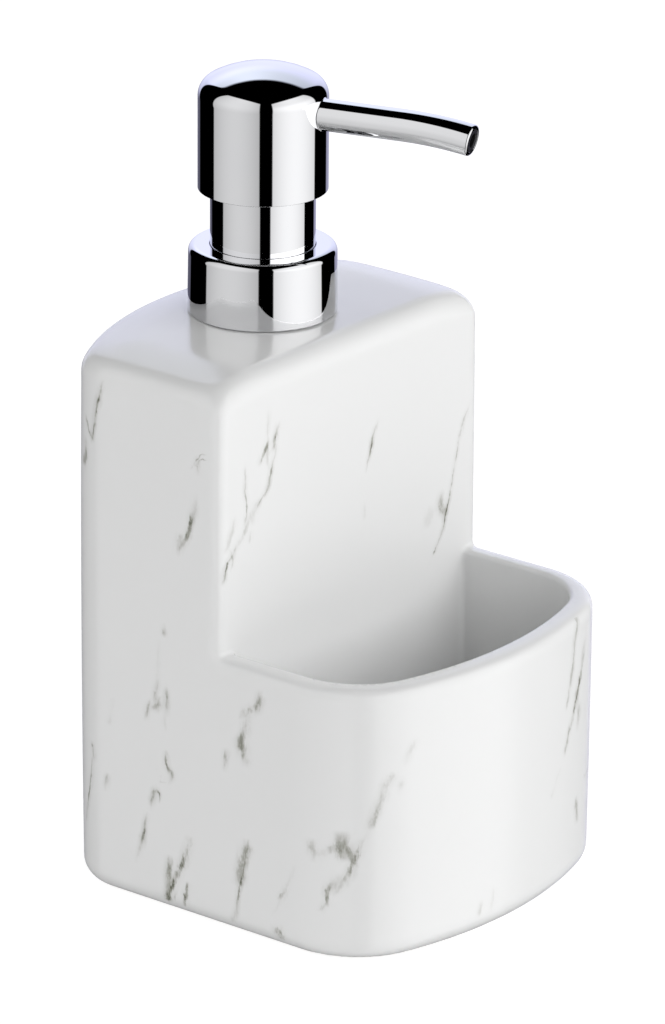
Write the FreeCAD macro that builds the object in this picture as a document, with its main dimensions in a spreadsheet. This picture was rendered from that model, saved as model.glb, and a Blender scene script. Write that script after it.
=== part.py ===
import FreeCAD, Part
import math
import os
import re
import Sketcher
from FreeCAD import Vector

# Soap pump caddy: a glazed ceramic tray and reservoir with a chromed soap pump, in millimetres.
# +Z is up, -Y is the tray side, and the origin is on the base, under the middle of the footprint.

SIZES = {
    # Ceramic body
    "body_width": 94.2,
    "body_depth": 104.7,
    "body_height": 129.7,
    "rim_height": 65.6,
    "ceramic_wall": 5.3,
    "floor_thickness": 6.0,
    "roof_thickness": 6.5,
    "tray_depth": 48.4,
    "front_bow": 11.1,
    "front_corner": 22.9,
    "back_bow": 14.0,
    "back_corner": 14.0,
    "crown_radius": 700.0,
    "crown_rise": 0.22,
    "top_edge_radius": 8.0,
    "upright_edge_radius": 2.9,
    "base_edge_radius": 5.75,
    "rim_flat": 0.8,
    "tray_corner_radius": 3.0,
    "tray_floor_radius": 5.0,
    "reservoir_edge_radius": 5.0,
    # Where the pump stands, as a share of the reservoir's depth from its front face
    "pump_place_ratio": 0.461,
    # Clearances
    "glue_gap": 0.1,
    "press_gap": 0.05,
    "running_gap": 0.06,
    "seat_gap": 0.05,
    "thread_gap": 0.3,
    # Threaded neck
    "neck_hole_diameter": 26.0,
    "neck_diameter": 25.2,
    "neck_bore": 20.8,
    "neck_height": 11.6,
    "neck_flange_diameter": 30.4,
    "neck_flange_thickness": 1.3,
    "neck_spigot_length": 8.5,
    "thread_pitch": 4.23,
    "thread_bead": 0.9,
    "thread_turns": 1.25,
    "thread_start": 3.9,
    "gasket_thickness": 0.8,
    # Screw collar
    "collar_diameter": 33.5,
    "collar_taper": 0.2,
    "collar_height": 15.5,
    "collar_lift": 0.2,
    "collar_edge_radius": 1.0,
    "cover_wall": 1.0,
    "nut_bore": 27.8,
    "nut_lift": 0.4,
    # Fixed sleeve and its bush
    "sleeve_diameter": 23.6,
    "sleeve_wall": 0.75,
    "sleeve_gap": 0.3,
    "sleeve_overlap": 1.8,
    "bush_wall": 1.4,
    "bush_plate": 2.0,
    "bush_spigot": 6.4,
    # Pump barrel
    "housing_flange_diameter": 26.8,
    "housing_flange": 1.2,
    "housing_diameter": 18.0,
    "housing_wall": 1.2,
    "ball_chamber_depth": 5.2,
    "ball_chamber_diameter": 6.8,
    "ball_seat_diameter": 3.8,
    "ball_seat_thickness": 1.5,
    "inlet_ball_diameter": 5.0,
    "ball_gap": 0.08,
    "tube_socket_length": 9.0,
    "tube_socket_wall": 1.35,
    "dip_tube_diameter": 6.4,
    "dip_tube_wall": 0.9,
    "dip_tube_clearance": 3.5,
    "retainer_thickness": 1.8,
    "retainer_bore": 3.2,
    "retainer_slot_diameter": 2.2,
    "retainer_slot_circle": 7.6,
    # Piston, stem and spring
    "piston_height": 6.0,
    "piston_gap": 0.2,
    "stem_diameter": 8.0,
    "stem_bore": 3.2,
    "stem_foot_diameter": 11.6,
    "stem_foot_thickness": 1.2,
    "valve_depth": 5.5,
    "valve_bore": 5.8,
    "outlet_ball_diameter": 4.6,
    "spring_length": 29.0,
    "spring_diameter": 11.4,
    "spring_wire": 0.9,
    "spring_turns": 8.0,
    # Head and spout
    "head_diameter": 29.2,
    "head_height": 28.7,
    "head_gap": 13.1,
    "press_clearance": 0.5,
    "head_wall": 1.0,
    "head_dome_radius": 26.0,
    "head_edge_radius": 4.7,
    "core_wall": 1.2,
    "core_skirt_lift": 0.4,
    "core_clearance": 0.5,
    "core_floor": 0.625,
    "core_headroom": 3.7,
    "core_chamfer": 2.7,
    "core_boss_wall": 2.1,
    "core_boss_depth": 8.5,
    "duct_diameter": 3.8,
    "spout_diameter": 6.75,
    "spout_bore": 5.0,
    "spout_start": 8.0,
    "spout_hole_gap": 0.1,
    "spout_straight": 34.3,
    "spout_bend_radius": 100.0,
    "spout_droop_angle": 9.7,
    "spout_turn_angle": 15.5,
    "liner_bore": 3.4,
    "liner_recess": 1.0,
}

doc = FreeCAD.newDocument("SoapPumpCaddy")
sheet = doc.addObject("Spreadsheet::Sheet", "Sizes")
for row, (alias, size) in enumerate(SIZES.items(), start=1):
    sheet.set("A%d" % row, alias.replace("_", " "))
    sheet.set("B%d" % row, str(size))
    sheet.setAlias("B%d" % row, alias)
doc.recompute()

# Places worked out from the sizes: positions across the body, then heights from the base up
WALL_Y = "(tray_depth - body_depth / 2)"
PUMP_Y = f"({WALL_Y} + pump_place_ratio * (body_depth - tray_depth))"
NECK_TOP = "(body_height + neck_height)"
GASKET_TOP = f"({NECK_TOP} + seat_gap + gasket_thickness)"
FLANGE_TOP = f"({GASKET_TOP} + housing_flange)"
COLLAR_LOW = "(body_height + collar_lift)"
COLLAR_TOP = f"({COLLAR_LOW} + collar_height)"
HEAD_LOW = f"({COLLAR_TOP} + head_gap)"
HEAD_TOP = f"({HEAD_LOW} + head_height)"
SLEEVE_TOP = f"({HEAD_LOW} + sleeve_overlap)"
CORE_FLOOR = f"({SLEEVE_TOP} + head_gap - press_clearance + core_clearance)"
SPOUT_Z = f"({CORE_FLOOR} + core_floor + spout_diameter / 2)"
STEM_TOP = f"({SPOUT_Z} - duct_diameter / 2)"
VALVE_SEAT = f"({STEM_TOP} - valve_depth)"
BUSH_LOW = f"({FLANGE_TOP} - bush_spigot)"
PISTON_TOP = f"({BUSH_LOW} - piston_gap)"
PISTON_LOW = f"({PISTON_TOP} - piston_height)"
STEM_LOW = f"({PISTON_LOW} - seat_gap - stem_foot_thickness)"
RETAINER_TOP = f"({STEM_LOW} - spring_length)"
BARREL_FLOOR = f"({RETAINER_TOP} - retainer_thickness)"
BALL_SEAT = f"({BARREL_FLOOR} - ball_chamber_depth)"
SOCKET_TOP = f"({BALL_SEAT} - ball_seat_thickness)"
SOCKET_LOW = f"({SOCKET_TOP} - tube_socket_length)"

# Radii shared by pieces that fit each other
BARREL_BORE = "(housing_diameter / 2 - housing_wall)"
COVER_BORE = "(collar_diameter / 2 - cover_wall)"
BUSH_OUTSIDE = "(sleeve_diameter / 2 - sleeve_wall - press_gap)"
CORE_OUTSIDE = "(head_diameter / 2 - head_wall - press_gap)"
SOCKET_OUTSIDE = "(dip_tube_diameter / 2 + press_gap + tube_socket_wall)"
FRONT_RADIUS = "((body_width ^ 2 / 4 + front_bow ^ 2) / (2 * front_bow))"
BACK_RADIUS = "((body_width ^ 2 / 4 + back_bow ^ 2) / (2 * back_bow))"


def bind(formula):
    """Turn a formula of size names into one that reads the sheet's cells."""
    return re.sub(r"\b[a-z]+(_[a-z]+)+\b", r"Sizes.\g<0>", formula)


def value(alias):
    """The number in a cell of the sheet."""
    return float(sheet.get(alias))


def solid(kind, name, sizes, place=("0", "0", "0")):
    """A primitive solid whose sizes and place follow formulas."""
    item = doc.addObject(kind, name)
    for size, formula in sizes.items():
        item.setExpression(size, bind(formula))
    for axis, formula in zip("xyz", place):
        item.setExpression("Placement.Base." + axis, bind(formula))
    return item


def cylinder(name, radius, low, high, x="0", y="0"):
    """An upright cylinder between two heights."""
    return solid("Part::Cylinder", name, {"Radius": radius, "Height": f"{high} - {low}"}, (x, y, low))


def joined(kind, name, pieces, merge_faces=True):
    """A fuse or a common part of several solids."""
    item = doc.addObject(kind, name)
    item.Shapes = pieces
    item.Refine = merge_faces
    return item


def cut(name, base, tool):
    """One solid less another."""
    item = doc.addObject("Part::Cut", name)
    item.Base = base
    item.Tool = tool
    item.Refine = True
    return item


def rounded(name, base, rules):
    """Fillet the edges that each rule picks, with the rule's radius."""
    doc.recompute()
    item = doc.addObject("Part::Fillet", name)
    item.Base = base
    edges = []
    for number, edge in enumerate(base.Shape.Edges, start=1):
        for picks, radius in rules:
            if picks(edge.BoundBox):
                edges.append((number, radius, radius))
                break
    item.Edges = edges
    return item


def near(first, second):
    """True for two lengths that agree to a hundredth of a millimetre."""
    return abs(first - second) < 0.01


def in_plane(height):
    """Picks edges that lie flat at a height."""
    return lambda box: near(box.ZMin, height) and near(box.ZMax, height)


def above(height):
    """Picks edges that lie wholly above a height."""
    return lambda box: box.ZMin > height


def upright(y_test):
    """Picks straight upright edges whose y passes a test."""
    return lambda box: near(box.XLength, 0) and near(box.YLength, 0) and y_test(box.YMin)


def finished(item, label, on_pump=True, with_head=False):
    """Name a finished piece and stand it on the pump's axis, turned with the head where it goes round."""
    item.Label = label
    if on_pump:
        item.setExpression("Placement.Base.y", bind(PUMP_Y))
    if with_head:
        item.setExpression("Placement.Rotation.Angle", bind("spout_turn_angle"))
    PIECES.append(item)
    return item


def plane(body, role):
    """One of a body's own origin planes."""
    return next(item for item in body.Origin.OriginFeatures if item.Role == role)


def turned_body(name, corners):
    """A lathe-turned piece: a closed outline of (radius, height) formulas revolved about the Z axis."""
    body = doc.addObject("PartDesign::Body", name)
    sketch = body.newObject("Sketcher::SketchObject", name + "_outline")
    sketch.AttachmentSupport = (plane(body, "XZ_Plane"), [""])
    sketch.MapMode = "FlatFace"
    count = len(corners)
    reach = value("collar_diameter")
    first_guess = []
    for number in range(count):
        angle = 2 * math.pi * number / count
        first_guess.append(Vector(reach * (2 + math.cos(angle)), reach * math.sin(angle), 0))
    for number in range(count):
        following = (number + 1) % count
        sketch.addGeometry(Part.LineSegment(first_guess[number], first_guess[following]), False)
    for number in range(count):
        following = (number + 1) % count
        sketch.addConstraint(Sketcher.Constraint("Coincident", number, 2, following, 1))
    for number, (radius, height) in enumerate(corners):
        start = first_guess[number]
        across = sketch.addConstraint(Sketcher.Constraint("DistanceX", -1, 1, number, 1, start.x))
        sketch.setExpression("Constraints[%d]" % across, bind(radius))
        up = sketch.addConstraint(Sketcher.Constraint("DistanceY", -1, 1, number, 1, start.y))
        sketch.setExpression("Constraints[%d]" % up, bind(height))
    turning = body.newObject("PartDesign::Revolution", name + "_turning")
    turning.Profile = sketch
    turning.ReferenceAxis = (sketch, ["V_Axis"])
    turning.Angle = 360
    body.Tip = turning
    return body


def round_sketch(body, name, radii, height, out):
    """Circles about one centre, facing along -Y at a height and a distance out from the axis."""
    sketch = body.newObject("Sketcher::SketchObject", name)
    sketch.AttachmentSupport = (plane(body, "XZ_Plane"), [""])
    sketch.MapMode = "FlatFace"
    sketch.setExpression("AttachmentOffset.Base.y", bind(height))
    sketch.setExpression("AttachmentOffset.Base.z", bind(out))
    for number, radius in enumerate(radii):
        sketch.addGeometry(Part.Circle(Vector(0, 0, 0), Vector(0, 0, 1), number + 1), False)
        sketch.addConstraint(Sketcher.Constraint("Coincident", number, 3, -1, 1))
        size = sketch.addConstraint(Sketcher.Constraint("Radius", number, number + 1))
        sketch.setExpression("Constraints[%d]" % size, bind(radius))
    return sketch


def cross_hole(body, name, radius, height, out):
    """Drill a body along -Y, from a distance out to beyond its outside."""
    pocket = body.newObject("PartDesign::Pocket", name)
    pocket.Profile = round_sketch(body, name + "_circle", [radius], height, out)
    pocket.Reversed = True
    pocket.setExpression("Length", bind("head_diameter"))
    body.Tip = pocket
    return pocket


def bent_tube(name, outside, bore, start, recess):
    """A tube that leaves the head along -Y, straight first and then drooping on an arc."""
    body = doc.addObject("PartDesign::Body", name)
    straight = body.newObject("PartDesign::Pad", name + "_straight")
    straight.Profile = round_sketch(body, name + "_end", [outside, bore], SPOUT_Z, start)
    straight.setExpression("Length", bind(f"spout_straight - {start}"))
    section = round_sketch(body, name + "_section", [], f"{SPOUT_Z} - spout_bend_radius", "spout_straight")
    for number, radius in enumerate((outside, bore)):
        centre = Vector(0, value("spout_bend_radius"), 0)
        sketch_circle = Part.Circle(centre, Vector(0, 0, 1), number + 1)
        section.addGeometry(sketch_circle, False)
        section.addConstraint(Sketcher.Constraint("PointOnObject", number, 3, -2))
        up = section.addConstraint(Sketcher.Constraint("DistanceY", -1, 1, number, 3, centre.y))
        section.setExpression("Constraints[%d]" % up, bind("spout_bend_radius"))
        size = section.addConstraint(Sketcher.Constraint("Radius", number, number + 1))
        section.setExpression("Constraints[%d]" % size, bind(radius))
    bend = body.newObject("PartDesign::Revolution", name + "_bend")
    bend.Profile = section
    bend.ReferenceAxis = (section, ["H_Axis"])
    bend.setExpression("Angle", bind(f"spout_droop_angle - {recess} / spout_bend_radius * 180 / pi"))
    body.Tip = bend
    return body


def arc_from(start, tangent, end):
    """The arc that leaves a point along a tangent and reaches another point, with its end tangent."""
    chord = end - start
    along = Vector(chord).normalize()
    off_chord = tangent - along * tangent.dot(along)
    half_turn = math.acos(min(1.0, tangent.dot(along)))
    rise = chord.Length / 2 * math.tan(half_turn / 2)
    middle = start + chord * 0.5 + off_chord.normalize() * rise
    return Part.Arc(start, middle, end).toShape()


def coil_point(radius, pitch, turn, base):
    """A point on a right-hand coil and the coil's direction there."""
    angle = 2 * math.pi * turn
    point = Vector(radius * math.cos(angle), radius * math.sin(angle), base + pitch * turn)
    slope = Vector(-radius * math.sin(angle), radius * math.cos(angle), pitch / (2 * math.pi))
    return point, slope.normalize()


def coil(radius, pitch, first_turn, turns, base, wire_radius):
    """One unbroken tube that climbs round the Z axis, on two tangent arcs for each quarter turn."""
    quarters = max(1, round(turns * 4))
    edges = []
    for number in range(quarters):
        start, leaving = coil_point(radius, pitch, first_turn + turns * number / quarters, base)
        end, arriving = coil_point(radius, pitch, first_turn + turns * (number + 1) / quarters, base)
        across = end - start
        both = across.dot(leaving + arriving)
        spread = 2 * (1 - leaving.dot(arriving))
        reach = (math.sqrt(both * both + spread * across.dot(across)) - both) / spread
        meeting = (start + end + (leaving - arriving) * reach) * 0.5
        edges.append(arc_from(start, leaving, meeting))
        edges.append(arc_from(end, arriving * -1, meeting))
    path = Part.Wire(Part.__sortEdges__(edges))
    start, leaving = coil_point(radius, pitch, first_turn, base)
    section = Part.Wire(Part.makeCircle(wire_radius, start, leaving))
    return path.makePipeShell([section], True, False)


def least_coil_gap(radius, pitch, turns, wire_radius):
    """The least clear space between neighbouring turns of a coil, measured on points."""
    steps = 48
    points = [coil_point(radius, pitch, number / steps, 0)[0] for number in range(int(turns * steps) + 1)]
    gap = min(
        first.distanceToPoint(second)
        for number, first in enumerate(points)
        for second in points[number + steps // 2:]
    )
    return gap - 2 * wire_radius


PIECES = []


def footprint(name, inset, low, high):
    """The rounded plan of the caddy, drawn in by an inset, between two heights."""
    box = solid(
        "Part::Box",
        name + "_box",
        {
            "Length": f"body_width - 2 * {inset}",
            "Width": f"body_depth - 2 * {inset}",
            "Height": f"{high} - {low}",
        },
        (f"{inset} - body_width / 2", f"{inset} - body_depth / 2", low),
    )
    front_centre = f"{FRONT_RADIUS} - body_depth / 2"
    back_centre = f"body_depth / 2 - {BACK_RADIUS}"
    front = cylinder(name + "_front", f"{FRONT_RADIUS} - {inset}", low, high, y=front_centre)
    back = cylinder(name + "_back", f"{BACK_RADIUS} - {inset}", low, high, y=back_centre)
    outline = joined("Part::MultiCommon", name + "_outline", [box, front, back])
    drawn_in = 0.0 if inset == "0" else value(inset)
    corners = [
        (upright(lambda y: y < 0), value("front_corner") - drawn_in),
        (upright(lambda y: y > 0), value("back_corner") - drawn_in),
    ]
    return rounded(name + "_block", outline, corners)


def half_space(name, y_low, y_high):
    """A box that keeps one part of the footprint's depth."""
    return solid(
        "Part::Box",
        name,
        {"Length": "2 * body_width", "Width": f"{y_high} - {y_low}", "Height": "2 * body_height"},
        ("-body_width", y_low, "-body_height / 2"),
    )


def make_ceramic_body():
    """The glazed casting: a tray under a rounded rim, and the closed reservoir behind it."""
    wall_y = value("tray_depth") - value("body_depth") / 2
    rim = value("rim_height")
    at_wall = upright(lambda y: near(y, wall_y))
    behind_wall = upright(lambda y: near(y, wall_y + value("ceramic_wall")))

    tray_space = joined("Part::MultiCommon", "tray_space", [
        footprint("tray_inside", "ceramic_wall", "floor_thickness", "(rim_height + ceramic_wall)"),
        half_space("tray_side", "-body_depth", WALL_Y),
    ])
    tray_tool = rounded("tray_tool", tray_space, [
        (at_wall, value("tray_corner_radius")),
        (in_plane(value("floor_thickness")), value("tray_floor_radius")),
    ])
    tray = rounded("tray", cut("tray_block", footprint("lower", "0", "0", "rim_height"), tray_tool), [
        (in_plane(rim), (value("ceramic_wall") - value("rim_flat")) / 2),
        (in_plane(0), value("base_edge_radius")),
    ])

    crown = solid("Part::Sphere", "crown", {"Radius": "crown_radius"},
                  ("0", PUMP_Y, "body_height + crown_rise - crown_radius"))
    tower_block = joined("Part::MultiCommon", "tower_block", [
        footprint("tower_outside", "0", "base_edge_radius", "body_height"),
        half_space("tower_side", WALL_Y, "body_depth"),
        crown,
    ])
    top_zone = value("body_height") - value("top_edge_radius")
    tower = rounded("tower", tower_block, [
        (lambda box: above(top_zone)(box) and box.XLength + box.YLength > 0, value("top_edge_radius")),
        (at_wall, value("upright_edge_radius")),
    ])

    cavity_top = "(body_height - roof_thickness)"
    cavity_space = joined("Part::MultiCommon", "cavity_space", [
        footprint("cavity_inside", "ceramic_wall", "floor_thickness", cavity_top),
        half_space("cavity_side", f"{WALL_Y} + ceramic_wall", "body_depth"),
    ])
    cavity = rounded("cavity", cavity_space, [
        (in_plane(value("floor_thickness")), value("reservoir_edge_radius")),
        (in_plane(value("body_height") - value("roof_thickness")), value("reservoir_edge_radius")),
        (behind_wall, value("reservoir_edge_radius")),
    ])
    hole_top = "(body_height + crown_rise)"
    neck_hole = cylinder("neck_hole", "neck_hole_diameter / 2", cavity_top, hole_top, y=PUMP_Y)
    hollow = joined("Part::MultiFuse", "hollow", [cavity, neck_hole])
    casting = joined("Part::MultiFuse", "casting", [tray, tower])
    return finished(cut("ceramic", casting, hollow), "ceramic_body", on_pump=False)


def thread(name, radius, first_turn, turns, base):
    """A rounded thread bead on a neck or in a nut."""
    bead = doc.addObject("Part::Feature", name)
    bead.Shape = coil(radius, value("thread_pitch"), first_turn, turns, base, value("thread_bead"))
    return bead


def make_neck():
    """The threaded neck glued into the ceramic, and the sealing ring on it."""
    bore = "neck_bore / 2"
    spigot = "neck_hole_diameter / 2 - glue_gap"
    flange_top = "body_height + neck_flange_thickness"
    neck = turned_body("neck", [
        (bore, "body_height - neck_spigot_length"),
        (spigot, "body_height - neck_spigot_length"),
        (spigot, "body_height"),
        ("neck_flange_diameter / 2", "body_height"),
        ("neck_flange_diameter / 2", flange_top),
        ("neck_diameter / 2", flange_top),
        ("neck_diameter / 2", NECK_TOP),
        (bore, NECK_TOP),
    ])
    thread_base = value("body_height") + value("thread_start")
    bead = thread("neck_thread", value("neck_diameter") / 2, 0, value("thread_turns"), thread_base)
    finished(joined("Part::MultiFuse", "threaded_neck", [neck, bead], merge_faces=False), "neck_insert")
    gasket = turned_body("gasket", [
        (bore, f"{NECK_TOP} + seat_gap"),
        ("neck_diameter / 2", f"{NECK_TOP} + seat_gap"),
        ("neck_diameter / 2", GASKET_TOP),
        (bore, GASKET_TOP),
    ])
    finished(gasket, "neck_gasket")


def make_collar():
    """The chromed collar and the threaded nut inside it."""
    hole = "sleeve_diameter / 2 + sleeve_gap"
    cover = turned_body("cover", [
        (COVER_BORE, COLLAR_LOW),
        ("collar_diameter / 2", COLLAR_LOW),
        ("collar_diameter / 2 - collar_taper", COLLAR_TOP),
        (hole, COLLAR_TOP),
        (hole, f"{COLLAR_TOP} - cover_wall"),
        (COVER_BORE, f"{COLLAR_TOP} - cover_wall"),
    ])
    rim_width = value("collar_diameter") - 2 * value("collar_taper")
    outer_edge = lambda box: box.ZLength < 0.01 and near(box.XLength, rim_width)
    finished(rounded("cover_shell", cover, [(outer_edge, value("collar_edge_radius"))]), "collar_cover")

    outside = f"{COVER_BORE} - press_gap"
    nut_low = "body_height + neck_flange_thickness + nut_lift"
    web_low = f"{FLANGE_TOP} + seat_gap"
    web_top = f"{COLLAR_TOP} - cover_wall - seat_gap"
    nut = turned_body("nut", [
        ("nut_bore / 2", nut_low),
        (outside, nut_low),
        (outside, web_top),
        (hole, web_top),
        (hole, web_low),
        ("nut_bore / 2", web_low),
    ])
    nut_radius = value("nut_bore") / 2
    pull = 2 * value("thread_bead") + value("thread_gap")
    drop = math.sqrt(pull ** 2 - (nut_radius - value("neck_diameter") / 2) ** 2)
    thread_base = value("body_height") + value("thread_start") - drop
    lead_in = 0.5
    bead = thread("nut_thread", nut_radius, lead_in, value("thread_turns") - lead_in / 2, thread_base)
    finished(joined("Part::MultiFuse", "threaded_nut", [nut, bead], merge_faces=False), "collar_nut")


def make_pump():
    """The barrel with its dip tube, and the bush and sleeve that close it."""
    tube_bore = "dip_tube_diameter / 2 + press_gap"
    housing = turned_body("housing", [
        ("housing_flange_diameter / 2", GASKET_TOP),
        ("housing_flange_diameter / 2", FLANGE_TOP),
        (BARREL_BORE, FLANGE_TOP),
        (BARREL_BORE, BARREL_FLOOR),
        ("ball_chamber_diameter / 2", BARREL_FLOOR),
        ("ball_chamber_diameter / 2", BALL_SEAT),
        ("ball_seat_diameter / 2", BALL_SEAT),
        ("ball_seat_diameter / 2", SOCKET_TOP),
        (tube_bore, SOCKET_TOP),
        (tube_bore, SOCKET_LOW),
        (SOCKET_OUTSIDE, SOCKET_LOW),
        (SOCKET_OUTSIDE, BALL_SEAT),
        ("housing_diameter / 2", f"{BARREL_FLOOR} - housing_wall"),
        ("housing_diameter / 2", GASKET_TOP),
    ])
    finished(housing, "pump_housing")

    dip_tube = turned_body("suction_tube", [
        ("dip_tube_diameter / 2 - dip_tube_wall", "floor_thickness + dip_tube_clearance"),
        ("dip_tube_diameter / 2", "floor_thickness + dip_tube_clearance"),
        ("dip_tube_diameter / 2", f"{SOCKET_TOP} - seat_gap"),
        ("dip_tube_diameter / 2 - dip_tube_wall", f"{SOCKET_TOP} - seat_gap"),
    ])
    finished(dip_tube, "dip_tube")

    stem_guide = "stem_diameter / 2 + running_gap"
    spigot = f"{BARREL_BORE} - press_gap"
    bush = turned_body("bush", [
        (stem_guide, BUSH_LOW),
        (spigot, BUSH_LOW),
        (spigot, FLANGE_TOP),
        (BUSH_OUTSIDE, FLANGE_TOP),
        (BUSH_OUTSIDE, f"{SLEEVE_TOP} - seat_gap"),
        (f"{BUSH_OUTSIDE} - bush_wall", f"{SLEEVE_TOP} - seat_gap"),
        (f"{BUSH_OUTSIDE} - bush_wall", f"{FLANGE_TOP} + bush_plate"),
        (stem_guide, f"{FLANGE_TOP} + bush_plate"),
    ])
    finished(bush, "guide_bush")

    sleeve = turned_body("sleeve", [
        ("sleeve_diameter / 2 - sleeve_wall", FLANGE_TOP),
        ("sleeve_diameter / 2", FLANGE_TOP),
        ("sleeve_diameter / 2", SLEEVE_TOP),
        ("sleeve_diameter / 2 - sleeve_wall", SLEEVE_TOP),
    ])
    finished(sleeve, "guide_sleeve")


def make_valves():
    """The inlet ball with its slotted retainer, and the outlet ball in the stem."""
    retainer = turned_body("retainer", [
        ("retainer_bore / 2", BARREL_FLOOR),
        (f"{BARREL_BORE} - press_gap", BARREL_FLOOR),
        (f"{BARREL_BORE} - press_gap", RETAINER_TOP),
        ("retainer_bore / 2", RETAINER_TOP),
    ])
    slot_count = 4
    slots = []
    for number in range(slot_count):
        angle = 360 * number / slot_count
        centre = "retainer_slot_circle / 2"
        slots.append(cylinder(
            "slot_%d" % number, "retainer_slot_diameter / 2", BARREL_FLOOR, RETAINER_TOP,
            x=f"{centre} * cos({angle} deg)", y=f"{centre} * sin({angle} deg)",
        ))
    finished(cut("slotted_retainer", retainer, joined("Part::MultiFuse", "slots", slots)), "ball_retainer")

    for label, ball, bore, seat in (
        ("inlet_ball", "inlet_ball_diameter", "ball_seat_diameter", BALL_SEAT),
        ("outlet_ball", "outlet_ball_diameter", "stem_bore", VALVE_SEAT),
    ):
        height = f"{seat} + sqrt({ball} ^ 2 - {bore} ^ 2) / 2 + ball_gap"
        sphere = solid("Part::Sphere", label + "_sphere", {"Radius": f"{ball} / 2"}, ("0", "0", height))
        finished(sphere, label)


def make_plunger():
    """The piston ring, the hollow stem through it and the spring under the stem's foot."""
    piston = turned_body("piston", [
        ("stem_diameter / 2 + running_gap", PISTON_LOW),
        (f"{BARREL_BORE} - running_gap", PISTON_LOW),
        (f"{BARREL_BORE} - running_gap", PISTON_TOP),
        ("stem_diameter / 2 + running_gap", PISTON_TOP),
    ])
    finished(piston, "piston_seal")

    stem = turned_body("stem", [
        ("stem_bore / 2", STEM_LOW),
        ("stem_foot_diameter / 2", STEM_LOW),
        ("stem_foot_diameter / 2", f"{STEM_LOW} + stem_foot_thickness"),
        ("stem_diameter / 2", f"{STEM_LOW} + stem_foot_thickness"),
        ("stem_diameter / 2", STEM_TOP),
        ("valve_bore / 2", STEM_TOP),
        ("valve_bore / 2", VALVE_SEAT),
        ("stem_bore / 2", VALVE_SEAT),
    ])
    finished(stem, "piston_stem")

    wire_radius = value("spring_wire") / 2
    mean_radius = value("spring_diameter") / 2
    climb = value("spring_length") - value("spring_wire") - 2 * value("seat_gap")
    pitch = climb / value("spring_turns")
    spring = doc.addObject("Part::Feature", "spring")
    spring.Shape = coil(mean_radius, pitch, 0, value("spring_turns"), 0, wire_radius)
    spring.setExpression("Placement.Base.z", bind(f"{RETAINER_TOP} + seat_gap + spring_wire / 2"))
    finished(spring, "return_spring")
    gap = least_coil_gap(mean_radius, pitch, value("spring_turns"), wire_radius)
    print("return_spring: least gap between turns %.2f mm" % gap)


def make_head():
    """The domed shell, the plastic core inside it and the spout with its liner."""
    shells = []
    for name, inset in (("shell_outside", "0"), ("shell_inside", "head_wall")):
        barrel = cylinder(name + "_barrel", f"head_diameter / 2 - {inset}", HEAD_LOW, HEAD_TOP)
        dome = solid("Part::Sphere", name + "_dome", {"Radius": f"head_dome_radius - {inset}"},
                     ("0", "0", f"{HEAD_TOP} - head_dome_radius"))
        lump = joined("Part::MultiCommon", name + "_lump", [barrel, dome])
        drawn_in = 0.0 if inset == "0" else value(inset)
        doc.recompute()
        middle = lump.Shape.BoundBox.Center.z
        round_edge = lambda box: above(middle)(box) and box.ZLength < 0.01
        shells.append(rounded(name, lump, [(round_edge, value("head_edge_radius") - drawn_in)]))
    hole_radius = "spout_diameter / 2 + spout_hole_gap"
    spout_hole = solid("Part::Cylinder", "spout_hole", {"Radius": hole_radius, "Height": "head_diameter"},
                       ("0", "0", SPOUT_Z))
    spout_hole.Placement.Rotation = FreeCAD.Rotation(Vector(1, 0, 0), 90)
    hollow = joined("Part::MultiFuse", "shell_hollow", [shells[1], spout_hole])
    finished(cut("shell", shells[0], hollow), "head_shell", with_head=True)

    skirt_low = f"{HEAD_LOW} + core_skirt_lift"
    skirt_bore = f"{CORE_OUTSIDE} - core_wall"
    socket = "stem_diameter / 2 + press_gap"
    boss_low = f"{CORE_FLOOR} - core_boss_depth"
    core_top = f"{HEAD_TOP} - head_wall - core_headroom"
    duct = "duct_diameter / 2"
    core = turned_body("core", [
        (socket, boss_low),
        (f"{socket} + core_boss_wall", boss_low),
        (f"{socket} + core_boss_wall", CORE_FLOOR),
        (skirt_bore, CORE_FLOOR),
        (skirt_bore, skirt_low),
        (CORE_OUTSIDE, skirt_low),
        (CORE_OUTSIDE, f"{core_top} - core_chamfer"),
        (f"{CORE_OUTSIDE} - core_chamfer", core_top),
        ("0", core_top),
        ("0", SPOUT_Z),
        (duct, SPOUT_Z),
        (duct, f"{STEM_TOP} + seat_gap"),
        (socket, f"{STEM_TOP} + seat_gap"),
    ])
    cross_hole(core, "duct", duct, SPOUT_Z, "0")
    cross_hole(core, "spout_socket", "spout_diameter / 2 + press_gap", SPOUT_Z, "spout_start")
    finished(core, "head_core", with_head=True)

    start = "(spout_start + seat_gap)"
    spout = bent_tube("spout", "spout_diameter / 2", "spout_bore / 2", start, "0")
    finished(spout, "spout_tube", with_head=True)
    liner = bent_tube("liner", "spout_bore / 2 - press_gap", "liner_bore / 2", start, "liner_recess")
    finished(liner, "spout_liner", with_head=True)


make_ceramic_body()
make_neck()
make_collar()
make_pump()
make_valves()
make_plunger()
make_head()
doc.recompute()

for item in doc.Objects:
    if "Invalid" in item.State or "Error" in item.State:
        raise RuntimeError("%s could not be built: %s" % (item.Label, item.State))
for piece in PIECES:
    shape = piece.Shape
    if shape.isNull() or not shape.isValid() or len(shape.Solids) != 1:
        raise RuntimeError("%s is not one valid solid" % piece.Label)

os.makedirs("parts", exist_ok=True)
for piece in PIECES:
    piece.Shape.exportStep("parts/%s.step" % piece.Label)
    box = piece.Shape.BoundBox
    print("%-14s %9.1f mm3  x %6.1f to %6.1f  y %6.1f to %6.1f  z %6.1f to %6.1f" % (
        piece.Label, piece.Shape.Volume, box.XMin, box.XMax, box.YMin, box.YMax, box.ZMin, box.ZMax))
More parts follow.
